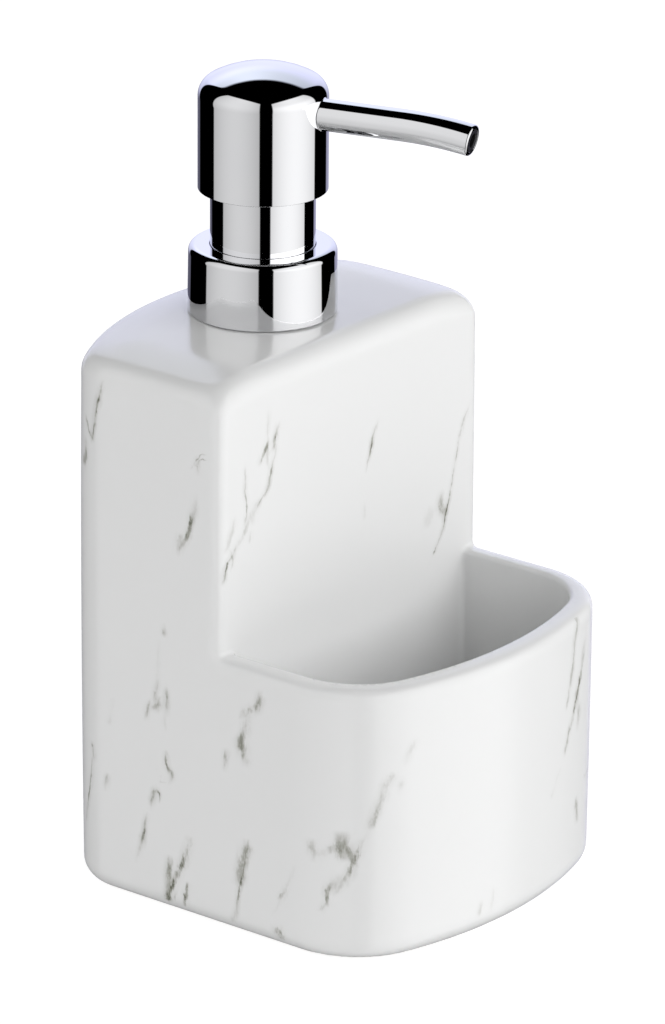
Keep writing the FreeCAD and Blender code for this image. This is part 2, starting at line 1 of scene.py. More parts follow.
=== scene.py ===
# %% [markdown]
# A soap pump caddy, dressed in Blender. A glazed ceramic casting holds liquid soap at the back and a sponge
# in front, and a chromed pump is screwed into its top. The packed CAD model is loaded first: it is the frame
# that every piece below is set on, in metres, with +Z up and the tray towards -Y.

# %% Load the frame
import math
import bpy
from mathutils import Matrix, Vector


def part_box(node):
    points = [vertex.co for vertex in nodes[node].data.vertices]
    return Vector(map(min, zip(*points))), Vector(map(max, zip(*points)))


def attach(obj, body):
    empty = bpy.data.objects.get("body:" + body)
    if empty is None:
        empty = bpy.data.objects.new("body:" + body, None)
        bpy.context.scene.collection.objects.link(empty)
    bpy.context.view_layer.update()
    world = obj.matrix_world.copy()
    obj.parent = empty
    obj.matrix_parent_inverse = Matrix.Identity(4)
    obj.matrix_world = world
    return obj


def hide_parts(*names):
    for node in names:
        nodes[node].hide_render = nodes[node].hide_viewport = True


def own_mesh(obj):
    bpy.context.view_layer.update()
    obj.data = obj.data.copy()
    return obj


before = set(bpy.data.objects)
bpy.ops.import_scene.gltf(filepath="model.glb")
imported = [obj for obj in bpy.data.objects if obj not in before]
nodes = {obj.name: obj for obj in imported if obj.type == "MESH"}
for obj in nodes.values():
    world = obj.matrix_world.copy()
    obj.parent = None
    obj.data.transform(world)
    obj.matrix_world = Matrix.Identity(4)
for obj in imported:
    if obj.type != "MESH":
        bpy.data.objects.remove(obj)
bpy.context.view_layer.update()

from types import SimpleNamespace

import bmesh
import bpy
import numpy as np
from mathutils import Matrix, Vector

MM = 0.001

# %% [markdown]
# The camera stands in front of the tray's left corner and looks down a little, through a long lens, so that
# upright edges stay almost parallel. It could be dragged into place by hand, but a place and three angles say
# the same in numbers. The angles give the way back to the camera, the way to its right and the way up.

# %% Camera
CAMERA_PLACE = Vector((-1.20453, -0.95787, 0.66334))
CAMERA_AZIMUTH, CAMERA_ELEVATION, CAMERA_ROLL = (math.radians(a) for a in (-51.466, 20.564, 0.423))
LENS, SENSOR = 255.93, 36.0


def heading(azimuth, elevation):
    """The way out to a bearing from the front and a height above the floor."""
    flat = math.cos(elevation)
    return Vector((math.sin(azimuth) * flat, -math.cos(azimuth) * flat, math.sin(elevation)))


def put_in_scene(name, data):
    """A new object that holds the data, linked to the scene."""
    made = bpy.data.objects.new(name, data)
    bpy.context.scene.collection.objects.link(made)
    return made


towards_camera = heading(CAMERA_AZIMUTH, CAMERA_ELEVATION)
camera_right = Vector((math.cos(CAMERA_AZIMUTH), math.sin(CAMERA_AZIMUTH), 0))
camera_up = towards_camera.cross(camera_right)
turn = Matrix((camera_right, camera_up, towards_camera)).transposed()
turn = turn @ Matrix.Rotation(CAMERA_ROLL, 3, "Z")

lens = bpy.data.cameras.new("studio_camera")
lens.lens = LENS
lens.sensor_width = SENSOR
camera = put_in_scene("studio_camera", lens)
camera.location = CAMERA_PLACE
camera.rotation_euler = turn.to_euler()
bpy.context.scene.camera = camera
bpy.context.scene.view_settings.view_transform = "Standard"
print("Camera with a %.0f mm lens" % lens.lens)

# %% [markdown]
# Materials and shapes below are sums of many small steps. Placing Math nodes by hand is slow to read, so one
# small class wraps a socket: adding two wires in Python adds a Math node to the tree. The same class serves
# shader trees and geometry trees, because both know the Math node.


# %% Sums that become nodes
class Wire:
    """One socket of a node tree, used in Python like a number."""

    def __init__(self, tree, socket=None):
        self.tree = tree
        self.socket = socket

    def node(self, kind, settings=None, inputs=None, output=0):
        """Add any node: its type, its settings, then the values or wires of its sockets."""
        made = self.tree.nodes.new(kind)
        for name, setting in (settings or {}).items():
            if name == "stops":
                ramp = made.color_ramp.elements
                while len(ramp) < len(setting):
                    ramp.new(0.5)
                for stop, (place, colour) in zip(ramp, setting):
                    stop.position = place
                    stop.color = colour
            else:
                setattr(made, name, setting)
        for name, value in (inputs or {}).items():
            if isinstance(value, Wire):
                self.tree.links.new(value.socket, made.inputs[name])
            else:
                made.inputs[name].default_value = value
        return Wire(self.tree, made.outputs[output] if made.outputs else None)

    def math(self, operation, *values):
        return self.node("ShaderNodeMath", {"operation": operation}, dict(enumerate(values)))

    def split(self):
        """The three parts of a vector."""
        parts = self.node("ShaderNodeSeparateXYZ", inputs={0: self}).socket.node
        return [Wire(self.tree, parts.outputs[name]) for name in "XYZ"]

    def clamped(self):
        return self.math("MAXIMUM", self.math("MINIMUM", self, 1.0), 0.0)

    def smooth(self, start, end):
        """0 before start, 1 after end and a soft step between."""
        settings = {"interpolation_type": "SMOOTHSTEP"}
        return self.node("ShaderNodeMapRange", settings, {"Value": self, "From Min": start, "From Max": end})

    def blend(self, first, second):
        """The first colour where this wire is 0, the second where it is 1."""
        return self.node("ShaderNodeMix", {"data_type": "RGBA"}, {"Factor": self, 6: first, 7: second}, 2)

    def __add__(self, other):
        return self.math("ADD", self, other)

    def __sub__(self, other):
        return self.math("SUBTRACT", self, other)

    def __rsub__(self, other):
        return self.math("SUBTRACT", other, self)

    def __mul__(self, other):
        return self.math("MULTIPLY", self, other)

    def __truediv__(self, other):
        return self.math("DIVIDE", self, other)

    def __rtruediv__(self, other):
        return self.math("DIVIDE", other, self)

    def __pow__(self, other):
        return self.math("POWER", self, other)

    def __gt__(self, other):
        return self.math("GREATER_THAN", self, other)

    def __neg__(self):
        return self.math("MULTIPLY", self, -1.0)

    def __abs__(self):
        return self.math("ABSOLUTE", self)

    __radd__ = __add__
    __rmul__ = __mul__


def fresh_nodes(holder):
    """Clear the node tree of a world or a material and give a wire to start from."""
    holder.use_nodes = True
    holder.node_tree.nodes.clear()
    return Wire(holder.node_tree)


print("Wire ready:", sum(name.startswith("__") for name in vars(Wire)), "built-in operations")

# %% [markdown]
# One long sum, the shape of the ceramic, runs twice further down: once as nodes and once on plain arrays of
# numbers. Plus, minus and times work on both. The smaller of two values and a square root don't, so these
# helpers look at what they are given and pick the node or the array's own function.


# %% Helpers for nodes and for arrays
def either(operation, plain, *values):
    """A Math node where one of the values is a wire, and plain numpy where none is."""
    for value in values:
        if isinstance(value, Wire):
            return value.math(operation, *values)
    return plain(*values)


def low(a, b):
    return either("MINIMUM", np.minimum, a, b)


def high(a, b):
    return either("MAXIMUM", np.maximum, a, b)


def within(value, least, most):
    return low(high(value, least), most)


def root(a):
    return either("SQRT", np.sqrt, a)


def far(a, b):
    """Length of the long side over two short ones."""
    return root(a * a + b * b)


print("The long side over 3 and 4 is", far(3.0, 4.0))

# %% [markdown]
# A studio for chrome is a dark room with a few bright panels: polished metal shows nothing but what stands
# round it. Cards could be modelled, but a world that is drawn by direction is easier to tune. Two soft panels
# stand left and right of the camera with a dark gap between them, and a backdrop stands behind the object.
# Each is a band of bearings, counted from the camera. Its height is a slope, as a builder gives a roof's.

# %% Panels drawn by direction
LEFT_PANEL = dict(start=-96, end=-6, peak=-60, rise=1.46, arch=1.0, level=0.94)
RIGHT_PANEL = dict(start=17, end=103, peak=66, rise=1.23, arch=1.0, level=1.42)
BACKDROP = dict(start=147, end=213, peak=180, rise=1.27, arch=1.4, level=1.0)
PANEL_SIDE_BLUR, PANEL_TOP_BLUR = 1.2, 0.09
FOOT_SLOPES, FOOT_LEVEL = (-1.1, -0.35), 0.62
UPPER_SLOPES, UPPER_GAIN = (-0.35, 0.3), 0.16
SIDE_LOSS = 0.28
HALF_TURN = 180.0

world = bpy.data.worlds.new("studio")
bpy.context.scene.world = world
sky = fresh_nodes(world)
east, north, height = sky.node("ShaderNodeTexCoord", output="Generated").split()
flat_back = Vector((towards_camera.x, towards_camera.y, 0)).normalized()
ahead = east * flat_back.x + north * flat_back.y
aside = east * camera_right.x + north * camera_right.y
bearing = aside.math("ARCTAN2", aside, ahead) * (HALF_TURN / math.pi)
slope = height / far(ahead, aside)


def degrees_from(middle):
    """Degrees between a bearing and this direction, below nought to the left of the bearing."""
    off = bearing - middle
    return off.math("WRAP", off, HALF_TURN, -HALF_TURN)


def panel(start, end, peak, rise, arch, level):
    """A soft panel between two bearings; its top is at the slope rise and sinks away from its peak."""
    half = (end - start) / 2
    off = abs(degrees_from((start + end) / 2))
    inside = 1 - off.smooth(half - PANEL_SIDE_BLUR, half + PANEL_SIDE_BLUR)
    spread = off / half
    top = rise * (1 - arch + arch * bearing.math("COSINE", (bearing - peak) * (math.pi / HALF_TURN)))
    below = (top - slope).smooth(-PANEL_TOP_BLUR, PANEL_TOP_BLUR)
    gain = FOOT_LEVEL + (1 - FOOT_LEVEL) * slope.smooth(*FOOT_SLOPES)
    gain = gain + UPPER_GAIN * slope.smooth(*UPPER_SLOPES)
    return inside * below * gain * (level * (1 - SIDE_LOSS * spread * spread))


left_panel, right_panel, backdrop = (panel(**sizes) for sizes in (LEFT_PANEL, RIGHT_PANEL, BACKDROP))
print("Three panels from", len(world.node_tree.nodes), "nodes")

# %% [markdown]
# The backdrop is pale violet, darker at its foot and calmer at its top. Mirror rays alone see it and the
# panels; other rays see a dim even sky, and the camera sees white. Light that has met two mirrors is dimmed
# twice, as where the sleeve shows in the collar, so the panels are brighter for such rays. A real studio
# would need one more card for that.

# %% What each ray sees
SKY_GREY, WHITE = (0.125, 0.125, 0.125, 1), (1, 1, 1, 1)
BACKDROP_LOW, BACKDROP_MIDDLE = (0.40, 0.39, 0.56, 1), (0.97, 1.00, 1.30, 1)
BACKDROP_TOP = (0.85, 0.91, 1.06, 1)
MIDDLE_SLOPES, TOP_SLOPES, GROUND_SLOPES = (-0.45, 0.1), (0.4, 0.8), (-0.9, -0.5)
LIFT, LIFT_BEARINGS, LIFT_SLOPES = 0.32, (-14.0, 20.0), (0.2, 0.6)
DARK_FOOT, DARK_BEARINGS, DARK_SLOPES = 0.7, (-4.0, 14.0), (-0.36, -0.1)
LEFT_MORE, RIGHT_MORE = 0.3, 1.1
RIGHT_LOSS, RIGHT_SLOPES = 0.2, (0.15, 0.6)
TWO_MIRRORS = 1.5


def ray(start, fact):
    """What is known of the ray that asks, such as whether it comes from the camera."""
    return start.node("ShaderNodeLightPath", output=fact)


second_mirror = ray(sky, "Glossy Depth") > TWO_MIRRORS
left_light = left_panel * (1 + LEFT_MORE * second_mirror)
right_light = right_panel * (1 + RIGHT_MORE * second_mirror) * (1 - RIGHT_LOSS * slope.smooth(*RIGHT_SLOPES))

past_middle = degrees_from(BACKDROP["peak"])
tint = slope.smooth(*MIDDLE_SLOPES).blend(BACKDROP_LOW, BACKDROP_MIDDLE)
tint = slope.smooth(*TOP_SLOPES).blend(tint, BACKDROP_TOP)
lifted = 1 + LIFT * past_middle.smooth(*LIFT_BEARINGS) * slope.smooth(*LIFT_SLOPES)
darkened = 1 - DARK_FOOT * past_middle.smooth(*DARK_BEARINGS) * (1 - slope.smooth(*DARK_SLOPES))
backdrop = backdrop * slope.smooth(*GROUND_SLOPES) * lifted * darkened

tinted = sky.node("ShaderNodeVectorMath", {"operation": "SCALE"}, {0: tint, "Scale": backdrop})
panels = sky.node("ShaderNodeVectorMath", {"operation": "ADD"}, {0: tinted, 1: left_light + right_light})
sees_white = (ray(sky, "Is Camera Ray") + ray(sky, "Is Transmission Ray")).clamped()
seen = ray(sky, "Is Glossy Ray").blend(sees_white.blend(SKY_GREY, WHITE), panels)
light = sky.node("ShaderNodeBackground", inputs={"Color": seen, "Strength": 1.0})
sky.node("ShaderNodeOutputWorld", inputs={"Surface": light})
print("World with", len(world.node_tree.nodes), "nodes")

# %% [markdown]
# The light itself comes from large, soft lamps in a ring, as in a tent of white cloth. One even dome would be
# simpler, but it would light all sides alike, and the flat walls of the ceramic would run together. The lamps
# are hidden from mirror rays, because the world already draws what the chrome shows.

# %% Soft lamps
LAMP_DISTANCE, LAMP_SIZE, LAMP_AIM = 1.5, 0.9, Vector((0, 0, 0.08))
LAMPS = {
    "left": dict(bearing=-75, rise=25, watts=6.4),
    "front": dict(bearing=30, rise=25, watts=7.6),
    "right": dict(bearing=75, rise=25, watts=7.45),
    "low_side": dict(bearing=125, rise=10, watts=7.4),
    "back_left": dict(bearing=-125, rise=26, watts=3.6),
    "low_front": dict(bearing=0, rise=8, watts=1.0),
    "low_back": dict(bearing=180, rise=10, watts=8.0),
}
for name, lamp in LAMPS.items():
    glow = bpy.data.lights.new(name + "_lamp", "AREA")
    glow.size = LAMP_SIZE
    glow.energy = lamp["watts"]
    away = heading(CAMERA_AZIMUTH + math.radians(lamp["bearing"]), math.radians(lamp["rise"]))
    holder = put_in_scene(name + "_lamp", glow)
    holder.location = LAMP_AIM + LAMP_DISTANCE * away
    holder.rotation_euler = (-away).to_track_quat("-Z", "Y").to_euler()
    holder.visible_glossy = False
print(len(LAMPS), "lamps of", sum(lamp["watts"] for lamp in LAMPS.values()), "watts in all")

# %% [markdown]
# The caddy stands on white paper. For the camera the paper glows, so that it is as white as the background
# and still takes the shadow under the foot; for all other rays it is matt paper with a faint glow of its own.
# An endless plane would show as a grey band in low views, so the sheet is round and ends inside the ring of
# lamps. It lies a hair below the foot, because two faces in one place flicker.

# %% White paper floor
FLOOR_RADIUS, FLOOR_DROP, FLOOR_SIDES = 1.35, 0.00005, 96
PAPER_MATT, PAPER_SHADOW, PAPER_WHITE = ((grey, grey, grey, 1) for grey in (0.92, 0.24, 0.88))
PAPER_BOUNCE = 0.13

floor_turns = np.linspace(0, 2 * math.pi, FLOOR_SIDES, endpoint=False)
floor_mesh = bpy.data.meshes.new("studio_floor")
floor_mesh.from_pydata(
    [(FLOOR_RADIUS * math.cos(t), FLOOR_RADIUS * math.sin(t), -FLOOR_DROP) for t in floor_turns],
    [], [range(FLOOR_SIDES)])
floor = put_in_scene("studio_floor", floor_mesh)
floor.visible_glossy = False

paper = bpy.data.materials.new("white_paper")
sheet = fresh_nodes(paper)
matt = sheet.node("ShaderNodeBsdfDiffuse", inputs={"Color": PAPER_MATT})
bounce = sheet.node("ShaderNodeEmission", inputs={"Color": WHITE, "Strength": PAPER_BOUNCE})
bright = sheet.node("ShaderNodeAddShader", inputs={0: matt, 1: bounce})
shadow = sheet.node("ShaderNodeBsdfDiffuse", inputs={"Color": PAPER_SHADOW})
white = sheet.node("ShaderNodeEmission", inputs={"Color": PAPER_WHITE, "Strength": 1.0})
for_eye = sheet.node("ShaderNodeAddShader", inputs={0: shadow, 1: white})
both = sheet.node("ShaderNodeMixShader", inputs={"Fac": ray(sheet, "Is Camera Ray"), 1: bright, 2: for_eye})
sheet.node("ShaderNodeOutputMaterial", inputs={"Surface": both})
floor_mesh.materials.append(paper)
print("Paper floor, %.1f m across" % (2 * FLOOR_RADIUS))

# %% [markdown]
# The ceramic body is one slip-cast piece, so every edge is soft and nothing is a plain block. It could be cut
# and bevelled by hand, but the corners where the rim runs into the reservoir are hard to bevel. A distance
# rule is easier: a function says how far any point is from the skin, spaces meet with a rounded edge, and the
# skin is where the distance is nought. The rule is written once, in millimetres. Geometry Nodes run it on a
# grid of points to get a mesh, and numpy runs it again to draw each vertex exactly onto the skin.

# %% Spaces that meet
BODY = SimpleNamespace(
    half_width=47.1, half_depth=52.35, height=129.7, rim=65.6, wall=5.3, floor=6.0, roof=6.5,
    wall_y=-3.95, pump_y=22.0, front_bow=11.45, front_corner=22.65, back_bow=15.3, back_corner=14.2,
    barrel=0.36, crown_across=20000.0, crown_along=600.0, crown_rise=0.22, crown_blend=0.2,
    shoulder_drop=2.8, shoulder_width=18.0, shoulder_most=1.3,
    top_edge=5.6, side_edge=3.5, back_edge=4.2, edge_change=10.0, back_edge_y=26.0,
    upright_edge=3.3, base_edge=5.2, rim_edge=1.1,
    tray_corner=1.1, tray_floor=5.0, inside_edge=5.0, neck_hole=13.0,
)


def round_meet(a, b, radius):
    """Where two spaces meet, with a round edge."""
    a, b = a + radius, b + radius
    return far(high(a, 0.0), high(b, 0.0)) + low(high(a, b), 0.0) - radius


def soft_meet(a, b, reach):
    """Where two spaces meet, with an edge that is as soft at every depth."""
    near = high(reach - abs(a - b), 0.0)
    return high(a, b) + near * near / (4 * reach)


def plan(x, y, s):
    """Distance from the outline seen from above: bowed front and back, straight sides, round corners."""
    across = abs(x)
    shape = across - s.half_width
    corners = []
    for side, bow, corner in ((-1, s.front_bow, s.front_corner), (1, s.back_bow, s.back_corner)):
        bow_radius = (s.half_width * s.half_width + bow * bow) / (2 * bow)
        centre = s.half_depth - bow_radius
        inner = bow_radius - corner
        corner_x = s.half_width - corner
        rise = root(inner * inner - corner_x * corner_x)
        out = y * side
        shape = high(shape, far(x, out - centre) - bow_radius)
        dx, dy = across - corner_x, out - (centre + rise)
        corners.append(((dy > 0) * (dx * rise > dy * corner_x), far(dx, dy) - corner))
    for inside, rounded in corners:
        shape = inside * rounded + (1 - inside) * shape
    return shape


print("The body has", len(vars(BODY)), "named sizes")

# %% [markdown]
# Seen from the side, the body is the outline drawn upwards with a slight barrel. The tray's hollow is taken
# out in front, a low dome with a soft shoulder closes the top, and the reservoir and the hole for the neck
# are taken out inside. Each line of the rule is one of these cuts, in the order in which a model maker would
# make them in plaster.


# %% The body's rule
def body_rule(x, y, z, s):
    """Distance from the ceramic's skin, below nought inside the wall."""
    level = within(z / s.rim - 1, -1.0, 1.0)
    outline = plan(x, y, s) + s.barrel * level * level
    tray = -round_meet(z - s.rim, -(outline + s.wall), s.rim_edge)
    tray = round_meet(tray, y - s.wall_y, s.tray_corner)
    tray = round_meet(tray, s.floor - z, s.tray_floor)
    shape = soft_meet(outline, -tray, s.upright_edge)
    behind = y - s.pump_y
    dome = z - s.height - s.crown_rise + x * x / (2 * s.crown_across) + behind * behind / (2 * s.crown_along)
    shoulder = within(1 + outline / s.shoulder_width, 0.0, s.shoulder_most)
    dome = dome + s.shoulder_drop * shoulder * shoulder
    backward = within((y - s.wall_y) / s.edge_change, 0.0, 1.0)
    to_back = within((y - s.back_edge_y) / s.edge_change, 0.0, 1.0)
    top_edge = s.top_edge + (s.side_edge - s.top_edge) * backward + (s.back_edge - s.side_edge) * to_back
    shape = round_meet(shape, soft_meet(dome, z - s.height, s.crown_blend), top_edge)
    shape = round_meet(shape, -z, s.base_edge)
    middle = (s.floor + s.height - s.roof) / 2
    cavity = round_meet(outline + s.wall, s.wall_y + s.wall - y, s.inside_edge)
    cavity = round_meet(cavity, abs(z - middle) - (middle - s.floor), s.inside_edge)
    neck = high(far(x, behind) - s.neck_hole, middle - z)
    return high(shape, -low(cavity, neck))


probe = body_rule(np.zeros(1), np.full(1, BODY.wall_y - 1.0), np.full(1, 100.0), BODY)
print("A point 1 mm in front of the wall is %.2f mm from the skin" % probe[0])

# %% [markdown]
# Geometry Nodes make two pieces here, the ceramic body and the return spring. Each tree gets one named input
# for every size, so that another caddy needs only other numbers, and one for its finish. A modifier could
# stay on the object, but a finished piece is a plain mesh, so the result is copied out of it.


# %% Trees with named sizes
def tree_for(name, sizes):
    """A geometry tree with an input for each size and one for the finish, and its inputs as wires."""
    tree = bpy.data.node_groups.new(name, "GeometryNodeTree")
    tree.interface.new_socket("Geometry", in_out="OUTPUT", socket_type="NodeSocketGeometry")
    for each, size in sizes.items():
        tree.interface.new_socket(each, in_out="INPUT", socket_type="NodeSocketFloat").default_value = size
    tree.interface.new_socket("finish", in_out="INPUT", socket_type="NodeSocketMaterial")
    entry = tree.nodes.new("NodeGroupInput")
    return tree, SimpleNamespace(**{each: Wire(tree, entry.outputs[each]) for each in (*sizes, "finish")})


def end_tree(shape, finish):
    """Smooth the shape, make it real and give it its finish."""
    shape = shape.node("GeometryNodeSetShadeSmooth", inputs={"Geometry": shape})
    shape = shape.node("GeometryNodeRealizeInstances", inputs={"Geometry": shape})
    shape = shape.node("GeometryNodeSetMaterial", inputs={"Geometry": shape, "Material": finish})
    shape.node("NodeGroupOutput", inputs={0: shape})


def grown(name, tree, settings):
    """Run a geometry tree on an empty object and keep the result as a plain mesh."""
    seed = put_in_scene(name, bpy.data.meshes.new(name + "_seed"))
    modifier = seed.modifiers.new("grow", "NODES")
    modifier.node_group = tree
    for item in tree.interface.items_tree:
        if item.in_out == "INPUT" and item.name in settings:
            modifier[item.identifier] = settings[item.name]
    ready = seed.evaluated_get(bpy.context.evaluated_depsgraph_get())
    mesh = bpy.data.meshes.new_from_object(ready)
    seed.modifiers.remove(modifier)
    seed.data = mesh
    mesh.name = name
    return seed


print("Trees end in Realize Instances and Set Material")

# %% [markdown]
# A volume cube asks the rule at every point of a fine grid and keeps how deep inside the clay the point lies.
# Volume to Mesh then wraps a skin round the half-way depth. Remeshing a rough block would give the same kind
# of mesh, but only the rule knows where each soft edge belongs.

# %% Body mesh from the rule
CELL = 1.25
BAND_CELLS, MARGIN_CELLS = 4, 3
HALF_DEEP = 0.5

sizes = dict(vars(BODY), cell=CELL)
tree, named = tree_for("ceramic_body_rule", sizes)
start = Wire(tree)
grid = start.node("GeometryNodeInputPosition").split()
inside = HALF_DEEP - body_rule(*grid, named) / (BAND_CELLS * named.cell)
margin = MARGIN_CELLS * named.cell


def corner(x, y, z):
    return start.node("ShaderNodeCombineXYZ", inputs={0: x, 1: y, 2: z})


def cells(length):
    return (length + 2 * margin) / named.cell


block = start.node("GeometryNodeVolumeCube", inputs={
    "Density": inside.clamped(),
    "Min": corner(-named.half_width - margin, -named.half_depth - margin, -margin),
    "Max": corner(named.half_width + margin, named.half_depth + margin, named.height + margin),
    "Resolution X": cells(2 * named.half_width),
    "Resolution Y": cells(2 * named.half_depth),
    "Resolution Z": cells(named.height),
})
skin = start.node("GeometryNodeVolumeToMesh", inputs={"Volume": block, "Threshold": HALF_DEEP})
end_tree(skin, named.finish)

glaze = bpy.data.materials.new("marbled_glaze")
body = grown("caddy_body", tree, dict(sizes, finish=glaze))
print("Body mesh:", len(body.data.vertices), "vertices,", len(body.data.polygons), "faces")

# %% [markdown]
# The grid leaves each vertex near the skin, not on it. The rule also says which way is out, so every vertex
# can walk to the skin along that way. On tight edges, such as the tray's rim, faces as large as the grid's
# cells would show as teeth, so the lines that bend too much there are halved and the new vertices walk too.

# %% Draw the vertices onto the skin
STEP, REACH, WALKS = 0.02, 0.8, 4
LEAST_STEEP, NOTHING = 0.25, 1e-9
TIGHT_BEND = math.cos(math.radians(14))
HALVINGS = 2


def points_of(mesh):
    flat = np.empty(len(mesh.vertices) * 3, np.float32)
    mesh.vertices.foreach_get("co", flat)
    return flat.reshape(-1, 3).astype(float)


def way_out(points):
    """How the rule changes along x, y and z at each point, which is the way out of the skin."""
    ways = []
    for shift in STEP * np.eye(3):
        change = body_rule(*(points + shift).T, BODY) - body_rule(*(points - shift).T, BODY)
        ways.append(change / (2 * STEP))
    return np.stack(ways, axis=1)


def drawn_to_skin(first_points):
    """The points, moved onto the skin but never far, and the way out at each."""
    points = first_points
    for _ in range(WALKS):
        gap = body_rule(*points.T, BODY)
        out = way_out(points)
        steep = np.maximum((out * out).sum(axis=1), LEAST_STEEP)
        moved = points - out * (gap / steep)[:, None] - first_points
        length = np.linalg.norm(moved, axis=1)
        points = first_points + moved * (np.minimum(length, REACH) / np.maximum(length, NOTHING))[:, None]
    normals = way_out(points)
    return points, normals / np.linalg.norm(normals, axis=1)[:, None]


def halve_tight_edges(mesh, points, normals):
    """Halve the lines of the tray and the rim whose ends face different ways."""
    fine = bmesh.new()
    fine.from_mesh(mesh)
    tight = []
    for line in fine.edges:
        a, b = (vertex.index for vertex in line.verts)
        in_tray = points[a][1] < BODY.wall_y + BODY.rim_edge and points[a][2] > BODY.floor / 2
        if in_tray and normals[a].dot(normals[b]) < TIGHT_BEND:
            tight.append(line)
    bmesh.ops.subdivide_edges(fine, edges=tight, cuts=1, use_grid_fill=True)
    fine.to_mesh(mesh)
    fine.free()
    return len(tight)


skin_points, skin_normals = drawn_to_skin(points_of(body.data))
for _ in range(HALVINGS):
    body.data.vertices.foreach_set("co", skin_points.astype(np.float32).ravel())
    print("Halved", halve_tight_edges(body.data, skin_points, skin_normals), "lines")
    skin_points, skin_normals = drawn_to_skin(points_of(body.data))
left_over = np.abs(body_rule(*skin_points.T, BODY))

body.data.vertices.foreach_set("co", (skin_points * MM).astype(np.float32).ravel())
body.data.update()
first_face = body.data.polygons[0]
if first_face.normal.dot(Vector(skin_normals[first_face.vertices[0]])) < 0:
    body.data.flip_normals()
body.data.polygons.foreach_set("use_smooth", [True] * len(body.data.polygons))
body.data.normals_split_custom_set_from_vertices(skin_normals.tolist())
print("%d vertices lie within %.4f mm of the skin" % (len(skin_points), left_over.max()))

# %% [markdown]
# Marble is painted or printed under the glaze: thin olive-grey veins that lean to one side, fray and fade.
# An endless noise would put veins anywhere, so each vein here is a stroke, as a painter would place it. The
# wall is unrolled like paper: a stroke is a half width and a row of points, each with the distance round the
# wall, the height and the darkness. Each vertex then stores how far it is to the side of the nearest stroke,
# how wide that stroke is and how dark. The shader turns these into fine, frayed lines, which stay sharp
# between the vertices.

# %% Vein strokes
WALL_VEINS = (
    (0.25, "-29.7 120.1 .05 -29.7 116.8 .25 -29.9 113.5 .2"),
    (0.45, "-26.1 115.3 .15 -27.2 112.8 .8 -27.6 110.5 .55 -29.1 109.3 .2"),
    (0.55, "-30 112.1 .4 -31 110.3 .85 -31.8 109.4 .6 -32.5 108.1 .5"),
    (0.40, "-30.2 111.3 .5 -30 108.8 .4 -29.6 106.6 .15"),
    (0.35, "-27 109.9 .3 -28.5 105.6 .55 -29.6 101.9 .6 -31.1 99.9 .6 -33 98.4 .55 -34.4 96.4 .35"),
    (0.28, "-37.7 108 .25 -37.7 103 .6 -37.1 98.4 .5 -37.8 95.2 .2"),
    (1.10, "-32.9 98.6 .3 -34.6 97.2 .4 -35.3 95 .2"),
    (0.70, "-35.5 96.7 .2 -37.8 93.1 .35 -40.4 91 .35 -41.7 88.4 .3"),
    (0.40, "-35.8 92.3 .15 -36 90.7 .4"),
    (0.60, "-41.3 96.8 .2 -42.3 94.2 .3 -44 90.4 .2"),
    (0.32, "-40.8 90.4 .4 -42.4 88.5 .75 -43.7 87.5 .8 -44.3 85.8 .75 -45 83.6 .35"),
    (0.30, "-42.5 89 .6 -41.9 87 .5 -42.4 85.9 .2"),
    (0.35, "9.6 106.6 .12 7.9 103 .35 6.9 100.6 .9 6 97.5 .45 5.3 95.5 .12"),
    (0.40, "4.7 87.3 .1 4.9 85.5 .22 4.9 84.3 .1"),
    (0.30, "43.3 100.9 .1 40.7 96.5 .5 38.7 90.5 .5 37.4 84.2 .5 36.1 79.2 .85 35.1 76.8 .9 "
           "34.4 73.6 .6 32.4 70.7 .5 30.8 68.3 .7"),
    (0.80, "33.7 81.6 .25 32.9 79.4 .75 32.6 78 .8 34.5 77 .6"),
    (1.30, "29.6 78.9 .12 28.6 77.2 .25 28.1 75.6 .12"),
)
